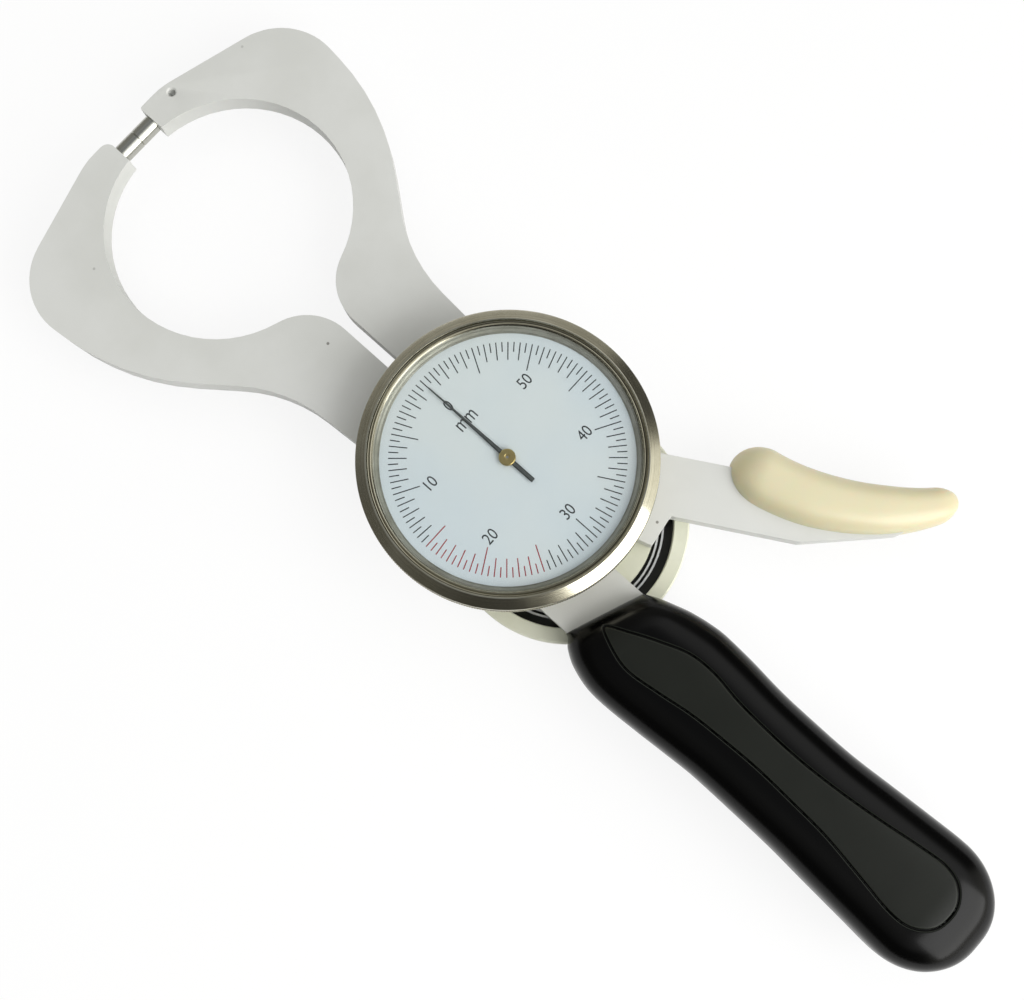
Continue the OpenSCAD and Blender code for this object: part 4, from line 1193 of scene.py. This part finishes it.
@dataclass
class Needle:
    """Pointer, its brass boss and arbor."""

    centre: Pair = (0.0, 19.78)
    length: float = 26.3
    tail: float = 8.6
    half_w: float = 0.6
    taper: float = 0.46
    boss_r: float = 2.1
    boss_ease: float = 0.1
    boss_crown: float = 0.2
    rivet: Pairs = ((0.75, 0.0), (0.66, 0.06), (0.34, 0.08), (0.28, 0.4), (0.0, 0.4))
    across: Tuple[float, ...] = (-1.0, -1.0, -0.5, 0.0, 0.5, 1.0, 1.0)
    level: Tuple[float, ...] = (0.0, 0.35, 0.92, 1.0, 0.92, 0.35, 0.0)

    def build(self) -> None:
        """Builds the ridged pointer and the boss."""
        settle(self.pointer(), Body.POINTER, Slot.NEEDLE, "pointer")
        settle(self.boss(), Body.POINTER, Slot.BRASS, "pointer_boss")
        dress("pointer_arbor", STEEL)

    def pointer(self) -> Thing:
        """A needle of half width w(y) with bevelled edges: (w u, y, low + h level(u)).

        Returns:
            The object.
        """
        low, high = heights("pointer")
        y = np.r_[-self.tail, np.linspace(-self.tail + 0.05, self.length - 0.1, 40), self.length]
        w = self.half_w - self.taper * np.clip(y / self.length, 0, 1) ** 0.9
        w[0] -= 0.04
        w[-1] -= 0.06
        across, level = np.array(self.across), np.array(self.level)
        rows, cols = len(y), len(across)
        x = self.centre[0] + w[:, None] * across
        z = np.broadcast_to(low + (high - low) * level, x.shape)
        verts = np.stack([x, np.broadcast_to(self.centre[1] + y[:, None], x.shape), z], -1)
        ridge = np.tile((level > 0.5).astype(float), rows)
        return piece("needle", verts.reshape(-1, 3), shell_faces(rows, cols), NEEDLE, 12.0,
                     {"ridge": ridge})

    def boss(self) -> Thing:
        """A turned brass boss with eased rims and the riveted end of its arbor."""
        low, top = heights("pointer_boss")
        r, ease, crown = self.boss_r, self.boss_ease, self.boss_crown
        section = [(0.0, low), (r - ease, low), (r, low + ease), (r, top - crown),
                   (r - crown, top)] + [(out, top - drop) for out, drop in self.rivet]
        return turned("boss_brass", section, BRASS, self.centre, 96, 28.0)


# ------------------------------------------------------------------ grip


@dataclass
class Grip:
    """Black two-piece grip with a grooved panel on each face."""

    axis_x: float = -12.0
    mid: float = 13.0
    reach: float = 139.94
    heel_round: float = 17.1
    heel_half: float = 16.85
    palm_half: float = 16.2
    waist_half: float = 14.75
    half_t: float = 13.0
    square: float = 3.2
    end_y: float = -23.0
    end_half: float = 10.3
    end_slope: float = -0.382
    end_fade: float = 26.0
    end_round: float = 10.0
    end_edge: float = 2.2
    plate_t: float = 6.0
    groove_w: float = 0.6
    groove_depth: float = 0.45
    groove_ease: float = 0.4
    seam_cut: float = 0.25
    seam_w: float = 0.3
    bunching: float = 0.03
    rows: int = 420
    cols: int = 210
    screw_y: Tuple[float, ...] = (-46.0, -84.0, -121.0)
    recess_r: float = 3.0
    recess_z: float = 3.2
    panel_share: float = 0.66
    panel_density: float = 3.2
    panel: Pairs = (
        (-14.6, -24.8), (-11.4, -30.6), (-8.4, -37.2), (-5.7, -44.6), (-5.3, -52.1),
        (-6.6, -61.4), (-7.2, -75.2), (-6.8, -86.9), (-5.4, -100.3), (-3.4, -113.8),
        (-2.9, -120.3), (-4.7, -125.1), (-9.2, -128.0), (-15.4, -127.4), (-19.3, -123.2),
        (-20.1, -117.0), (-18.5, -106.1), (-16.9, -95.0), (-16.3, -84.4), (-15.9, -73.8),
        (-16.2, -64.0), (-16.8, -54.2), (-18.2, -45.1), (-19.2, -36.0), (-17.5, -29.2))

    def build(self) -> None:
        """Builds both scales and dresses the screws."""
        settle(self.scale("grip_front", 1.0), Body.FRAME, Slot.BLACK, "handle_front")
        settle(self.scale("grip_back", -1.0), Body.FRAME, Slot.BLACK, "handle_back")
        dress("handle_screws", STEEL)

    def half(self, y: np.ndarray) -> np.ndarray:
        """Half width along the grip; an ellipse closes the heel.

        Args:
            y: places along the grip.

        Returns:
            One half width for each, in millimetres.
        """
        heel_y = -self.reach + self.heel_round
        body = Curve((
            (heel_y, self.heel_half), (heel_y + 9.8, self.heel_half - 0.5),
            (heel_y + 21.8, self.heel_half - 1.25), (-90.0, self.waist_half + 0.15),
            (-78.0, self.waist_half), (-66.0, self.waist_half + 0.15),
            (-56.0, self.palm_half - 0.55), (-45.0, self.palm_half),
            (-36.0, self.palm_half - 0.5), (-30.0, self.palm_half - 2.15),
            (-26.0, self.palm_half - 4.0), (self.end_y, self.end_half)))(y)
        u = (heel_y - y) / self.heel_round
        return np.where(u <= 0, body, self.heel_half * np.sqrt(np.clip(1 - u * u, 0, 1)))

    def lean(self, y: np.ndarray) -> np.ndarray:
        """Sideways lean of the grip's middle line."""
        return Curve(((-self.reach, 0.45), (-132.0, 0.1), (-116.0, 0.1), (-90.0, -0.15),
                      (-72.0, 0.0), (-60.0, 0.25), (-48.0, 0.1), (-42.0, -0.35), (-36.0, -0.75),
                      (-30.0, -0.65), (-26.0, -0.1), (self.end_y, 0.5)))(y)

    def thick(self, y: np.ndarray) -> np.ndarray:
        """Half thickness, rounded off by a superellipse at the heel and an ellipse above.

        Args:
            y: places along the grip.

        Returns:
            One half thickness for each, in millimetres.
        """
        low = self.plate_t / 2 + self.end_edge
        u = np.clip((-self.reach + self.heel_round - y) / self.heel_round, 0, 1)
        v = np.clip((y - self.end_y + self.end_round) / self.end_round, 0, 1)
        upper = low + (self.half_t - low) * np.sqrt(np.clip(1 - v * v, 0, 1))
        heel = self.half_t * np.clip(1 - u ** 2.3, 0, 1) ** (1 / 2.3)
        return np.where(y > self.end_y - self.end_round, upper, heel)

    def panel_outline(self) -> np.ndarray:
        """The panel's outline: a closed Catmull-Rom curve through its corners.

        Between corners p1 and p2 with t from 0 to 1, the point is
        (2 p1 + (p2 - p0) t + (2 p0 - 5 p1 + 4 p2 - p3) t^2 + (3 p1 - p0 - 3 p2 + p3) t^3) / 2.

        Returns:
            Points of the closed loop, one row each.
        """
        p1 = np.asarray(self.panel, float)
        p0, p2, p3 = (np.roll(p1, k, axis=0) for k in (1, -1, -2))
        t = np.linspace(0, 1, 8, endpoint=False)[None, :, None]
        p0, p1, p2, p3 = (p[:, None, :] for p in (p0, p1, p2, p3))
        loop = 0.5 * (2 * p1 + (p2 - p0) * t + (2 * p0 - 5 * p1 + 4 * p2 - p3) * t ** 2
                      + (3 * p1 - p0 - 3 * p2 + p3) * t ** 3)
        return loop.reshape(-1, 2)

    def section(self) -> Tuple[np.ndarray, np.ndarray]:
        """Superellipse (C, S) with |C|^n + |S|^n = 1, close-set across the panel.

        Returns:
            C from 1 to -1 and the matching S.
        """
        a = np.linspace(0, np.pi, 6001)
        c, h = power_wave(np.cos(a), self.square), power_wave(np.sin(a), self.square)
        width, thick = self.heel_half, self.half_t
        step = np.hypot(np.diff(c) * width, np.diff(h) * thick)
        middle = 0.5 * (c[1:] + c[:-1])
        weight = np.where(np.abs(middle) < self.panel_share, self.panel_density, 1.0)
        run = np.r_[0, np.cumsum(step * weight)]
        at = np.interp(np.linspace(0, run[-1], self.cols), run, a)
        return power_wave(np.cos(at), self.square), power_wave(np.sin(at), self.square)

    @staticmethod
    def depth_inside(points: np.ndarray, loop: np.ndarray) -> np.ndarray:
        """Signed distance of points to a closed loop, positive inside.

        The size is the least distance to any segment, and the sign comes from counting how
        many segments a ray along +X crosses.

        Args:
            points: (n, 2) places.
            loop: (m, 2) corners.

        Returns:
            One distance a point.
        """
        a, b = loop, np.roll(loop, -1, axis=0)
        best = np.full(len(points), 1e9)
        crossings = np.zeros(len(points), int)
        for p, q in zip(a, b):
            edge = q - p
            length = float(edge @ edge) + 1e-12
            t = np.clip(((points - p) @ edge) / length, 0, 1)
            best = np.minimum(best, np.hypot(*(points - p - t[:, None] * edge).T))
            spans = (p[1] > points[:, 1]) != (q[1] > points[:, 1])
            x = p[0] + (points[:, 1] - p[1]) / (edge[1] if edge[1] else 1e-12) * edge[0]
            crossings += spans & (points[:, 0] < x)
        return np.where(crossings % 2 == 1, best, -best)

    def scale(self, name: str, side: float) -> Thing:
        """One scale of the grip.

        Sections are superellipses: x = half(y) C, z = thick(y) S with C and S the signed
        powers of cosine and sine, sheared at the upper end by the slope of its edge. The
        groove is taken off where a point lies within the groove's width of the panel's edge,
        and the parting edge is eased by the seam's cut. The flat inner side closes each ring.

        Args:
            name: the object's name.
            side: 1 for the front, -1 for the back.

        Returns:
            The object.
        """
        s = np.linspace(0, 1, self.rows)
        run = s - self.bunching * np.sin(TURN * s)
        y0 = self.end_y - (self.reach + self.end_y - 0.02) * run
        c, h = (part[None, :] for part in self.section())
        slant = self.end_slope * np.clip(1 - (self.end_y - y0) / self.end_fade, 0, 1)
        rel = self.half(y0)[:, None] * c
        x = self.axis_x + self.lean(y0)[:, None] + rel
        y = y0[:, None] + slant[:, None] * rel
        z = self.thick(y0)[:, None] * h
        seam = self.seam_cut * np.exp(-(z / self.seam_w) ** 2)
        x = x - np.sign(c) * seam
        flat = np.c_[x.ravel(), y.ravel()]
        inside = self.depth_inside(flat, self.panel_outline()).reshape(x.shape)
        inside = np.where(h > 0.2, inside, -5.0)
        off = (inside - self.groove_w / 2) / (self.groove_ease * self.groove_w)
        cut = np.exp(-off ** 2)
        z = z - self.groove_depth * cut
        verts = np.stack([x, y, self.mid + side * z], -1).reshape(-1, 3)
        if side < 0:
            for spot in self.screw_y:
                verts = countersink(verts, (self.axis_x, spot), self.recess_r, self.recess_z)
        faces = shell_faces(self.rows, self.cols)
        if side < 0:
            faces = [f[::-1] for f in faces]
        return piece(name, verts, faces, BLACK, 75.0, {"depth": inside.ravel()})


# ------------------------------------------------------------------ lever pad


@dataclass
class LeverPad:
    """The ivory pad that the fingers squeeze."""

    start_deg: float = 187.25
    sweep_deg: float = 50.0
    centre: Pair = (105.8, -12.6)
    bend_r: float = 67.9
    half_w: float = 7.55
    half_t: float = 8.4
    square: float = 2.6
    butt_share: float = 0.16
    tip_share: float = 0.1
    mid: float = 13.0
    rows: int = 240
    cols: int = 192
    screws: Pairs = ((43.4, -38.4), (53.2, -55.6))
    recess_r: float = 2.2
    recess_z: float = 7.2

    def build(self) -> None:
        """Builds the pad and dresses its screws."""
        settle(self.pad(), Body.JAW, Slot.IVORY, "lever_pad")
        dress("pad_screws", STEEL)

    def swell(self, t: np.ndarray) -> np.ndarray:
        """Half width along the pad as a share of its largest, with elliptic ends.

        Args:
            t: places along the pad, 0 at its butt and 1 at its tip.

        Returns:
            One share for each.
        """
        u = np.minimum(1.0, t / self.butt_share)
        v = np.maximum(0.0, (t - (1.0 - self.tip_share)) / self.tip_share)
        table = Curve(((0.0, 1.0), (0.32, 0.99), (0.44, 0.96), (0.56, 0.91), (0.68, 0.845),
                       (0.8, 0.735), (0.92, 0.61), (1.0, 0.54)))(t)
        return table * np.sqrt(np.clip(1 - (1 - u) ** 2, 0, 1)) * np.sqrt(np.clip(1 - v * v, 0, 1))

    def pad(self) -> Thing:
        """Superellipse rings along an arc: P(t, b) = c(t) + out(t) w s C(b) + z t s S(b).

        C and S are the signed powers of cosine and sine, s is the swell at t, and the middle
        line c(t) is the arc less a shift by a smooth table.

        Returns:
            The object.
        """
        k = np.linspace(0, 1, self.rows)
        t = 0.0004 + 0.9992 * (1 - np.cos(np.pi * k)) / 2
        a = np.radians(self.start_deg + self.sweep_deg * t)
        out = np.stack([np.cos(a), np.sin(a)], -1)
        shift = Curve(((0.0, 1.1), (0.11, 0.75), (0.19, 0.35), (0.33, -0.05), (0.5, -0.2),
                       (0.7, -0.3), (0.9, -0.25), (1.0, 0.1)))(t)
        c = np.asarray(self.centre) + (self.bend_r - shift)[:, None] * out
        s = self.swell(t)
        b = np.arange(self.cols) * TURN / self.cols
        cb, sb = (power_wave(wave(b), self.square) for wave in (np.cos, np.sin))
        xy = c[:, None, :] + out[:, None, :] * (self.half_w * s)[:, None, None] * cb[None, :, None]
        z = self.mid + self.half_t * s[:, None] * sb[None, :]
        verts = np.concatenate([xy, z[..., None]], -1).reshape(-1, 3)
        for spot in self.screws:
            verts = countersink(verts, spot, self.recess_r, self.recess_z)
        # Where the painted shade falls: 1 at the pad's sides and ends, 0 on the middle of its
        # faces.
        rim = 1.0 - np.clip(s[:, None] * np.abs(sb)[None, :], 0, 1) ** 2
        faces = [f[::-1] for f in shell_faces(self.rows, self.cols)]
        return piece("pad_moulded", verts, faces, IVORY, 60.0, {"rim": rim.ravel()})


# ------------------------------------------------------------------ spring and drum


@dataclass
class SpringUnit:
    """Drum, flat spiral spring, its hub and the pressure knob."""

    def build(self) -> None:
        """Rounds the edges of the drum and the knob, and dresses the hub and the spring."""
        settle(rounded_copy("spring_drum", "drum_plated", DRUM_PLATING, 0.12, 2),
               Body.FRAME, Slot.NICKEL, "spring_drum")
        settle(rounded_copy("pressure_knob", "knob_plated", DRUM_PLATING, 0.12, 2),
               Body.PRESSURE, Slot.NICKEL, "pressure_knob")
        dress("spring_hub", DRUM_PLATING)
        dress("main_spring", SPRING_POLISH)


@dataclass
class Works:
    """Nodes that keep their solids: pivot, movement and screws."""

    finishes: Dict[str, Finish] = field(default_factory=lambda: {
        "pivot_bush": BRONZE, "friction_washer": BRONZE, "thrust_washer": BRONZE,
        "drum_screws": STEEL, "case_screws": STEEL, "arbor_bush": BRASS,
        "bridge_posts": BRASS, "movement_bridge": BRASS, "bridge_screws": STEEL,
        "bezel_snap_ring": STEEL, "pivot_shaft": STEEL, "shaft_clip": STEEL,
        "gear_sector": BRASS, "sector_nut": STEEL, "spring_pin": STEEL,
        "knob_screws": STEEL})

    def build(self) -> None:
        """Dresses each node."""
        for node, finish in self.finishes.items():
            dress(node, finish)


# ------------------------------------------------------------------ studio


@dataclass
class Studio:
    """Floor, world, lamps and camera."""

    eye: Tuple[float, float, float] = (-33.73, -29.06, 324.04)
    right: Tuple[float, float, float] = (0.671787, -0.739580, -0.041527)
    up: Tuple[float, float, float] = (0.735380, 0.659138, 0.157333)
    back: Tuple[float, float, float] = (-0.088988, -0.136232, 0.986672)
    focal_px: float = 1234.6
    image_w: int = 1024
    sensor: float = 36.0
    floor_size: float = 4000.0
    floor_grain: Noise = (30.0, 2.0, 0.5)
    floor_greys: Pair = (0.82, 0.86)
    floor_glow: float = 1.03
    glow_share: float = 0.82
    glow_mirrored: float = 0.4
    low_tint: Tuple[float, float, float] = (1.0, 0.985, 0.9)
    high_left: Colour = (0.24, 0.24, 0.23, 1.0)
    high_right: Colour = (1.6, 1.6, 1.58, 1.0)
    overhead: Colour = (0.22, 0.23, 0.24, 1.0)
    backdrop: Colour = (0.95, 0.95, 0.95, 1.0)
    horizon: Pairs = (
        (0.0, 0.11), (0.10, 0.13), (0.2, 0.05), (0.29, 0.06), (0.345, 1.0), (0.50, 1.1),
        (0.54, 0.9), (0.56, 0.08), (0.63, 0.07), (0.66, 0.32), (0.75, 0.4), (0.875, 0.27),
        (1.0, 0.11))

    def build(self) -> None:
        """Sets up everything that isn't the object."""
        self.camera()
        self.floor()
        self.world()
        self.lamps()
        bpy.context.scene.view_settings.view_transform = "Standard"

    def camera(self) -> None:
        """A plain camera at the photograph's place."""
        data = bpy.data.cameras.new("camera")
        data.sensor_width = self.sensor
        data.lens = self.sensor * self.focal_px / self.image_w
        data.clip_start, data.clip_end = 0.01, 20.0
        obj = enter("camera", data)
        turn = Matrix((self.right, self.up, self.back)).transposed().to_4x4()
        obj.matrix_world = Matrix.Translation(Vector(self.eye) * MM) @ turn
        bpy.context.scene.camera = obj

    def floor(self) -> None:
        """A pale floor under the lowest point, white to the camera but for the shadow."""
        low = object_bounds()[0].z / MM
        half = self.floor_size / 2
        corners = ((-half, -half), (half, -half), (half, half), (-half, half))
        verts = np.array([(x, y, low) for x, y in corners])
        material = bpy.data.materials.new("floor_white")
        graph = Graph(material)
        path = graph.node("ShaderNodeLightPath").outputs
        seen, mirrored, through = (Sock(graph, path["Is %s Ray" % kind])
                                   for kind in ("Camera", "Glossy", "Transmission"))
        grain = graph.noise(graph.place(), self.floor_grain)
        greys = [(grey, grey, grey, 1.0) for grey in self.floor_greys]
        diffuse = graph.node("ShaderNodeBsdfPrincipled", {}, {
            "Base Color": graph.mix(grain, *greys), "Roughness": 0.8, "Specular IOR Level": 0.0})
        white = graph.node("ShaderNodeEmission", {}, {
            "Color": (1.0, 1.0, 1.0, 1.0), "Strength": self.floor_glow})
        glow = seen + self.glow_mirrored * mirrored + through
        graph.blend(self.glow_share * glow, diffuse, white)
        mesh = bpy.data.meshes.new("floor")
        mesh.from_pydata((verts * MM).tolist(), [], [[0, 1, 2, 3]])
        mesh.materials.append(material)
        enter("floor", mesh)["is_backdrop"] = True

    def world(self) -> None:
        """A room that is bright to the image's right and dim overhead.

        Low down, the light follows the direction round the horizon, by self.horizon. Higher
        up it grows smoothly from left to right, and a small round overhead is dim. The camera
        itself sees an even pale backdrop.
        """
        world = bpy.data.worlds.new("studio")
        bpy.context.scene.world = world
        graph = Graph(world)
        way = graph.node("ShaderNodeTexCoord").outputs["Generated"]
        x, y, z = graph.parts(way)
        side = x * self.right[0] + y * self.right[1]
        head = x * self.up[0] + y * self.up[1]
        round_about = head.angle(side) / TURN + 0.5
        stops = [(place, (*(v * tint for tint in self.low_tint), 1.0))
                 for place, v in self.horizon]
        low = graph.node("ShaderNodeValToRGB", {"stops": stops}, {0: round_about}).outputs[0]
        high = graph.mix(side.step(-0.4, 0.7), self.high_left, self.high_right)
        high = graph.mix(z.step(0.88, 0.98), high, self.overhead)
        sky = graph.mix(z.step(0.5, 0.74), low, high)
        seen = graph.node("ShaderNodeLightPath").outputs["Is Camera Ray"]
        sky = graph.mix(Sock(graph, seen), sky, self.backdrop)
        light = graph.node("ShaderNodeBackground", {}, {"Color": sky, "Strength": 1.0})
        graph.node("ShaderNodeOutputWorld", {}, {"Surface": light.outputs[0]})

    def lamps(self) -> None:
        """A large soft lamp from the image's lower right and a weak fill from its upper left."""
        self.lamp("soft_key", (0.5, -0.38), out=0.7, high=0.55, size=0.7, power=5.6)
        fill = self.lamp("soft_fill", (-0.5, 0.3), out=0.6, high=0.7, size=1.2, power=2.4)
        fill.visible_glossy = False

    def lamp(self, name: str, toward: Pair, out: float, high: float,
             size: float, power: float) -> Thing:
        """A square area lamp aimed at the dial.

        Args:
            name: its name.
            toward: where it stands, by the image's right and up.
            out: how far it stands out, in metres.
            high: how high it stands, in metres.
            size: its side, in metres.
            power: watts.

        Returns:
            The lamp.
        """
        data = bpy.data.lights.new(name, "AREA")
        data.shape = "SQUARE"
        data.size, data.energy = size, power
        obj = enter(name, data)
        way = Vector(self.right) * toward[0] + Vector(self.up) * toward[1]
        spot = way.normalized() * out + Vector((0.0, 0.0, high))
        aim = Vector((0.0, 0.01, 0.0)) - spot
        turn = aim.to_track_quat("-Z", "Y").to_matrix().to_4x4()
        obj.matrix_world = Matrix.Translation(spot) @ turn
        return obj


def main() -> None:
    """Builds the caliper and its studio."""
    logging.basicConfig(level=logging.INFO, format="%(name)s: %(message)s")
    Jaws().build()
    Dial().build()
    Needle().build()
    Grip().build()
    LeverPad().build()
    SpringUnit().build()
    Works().build()
    Studio().build()


if __name__ == "__main__":
    main()
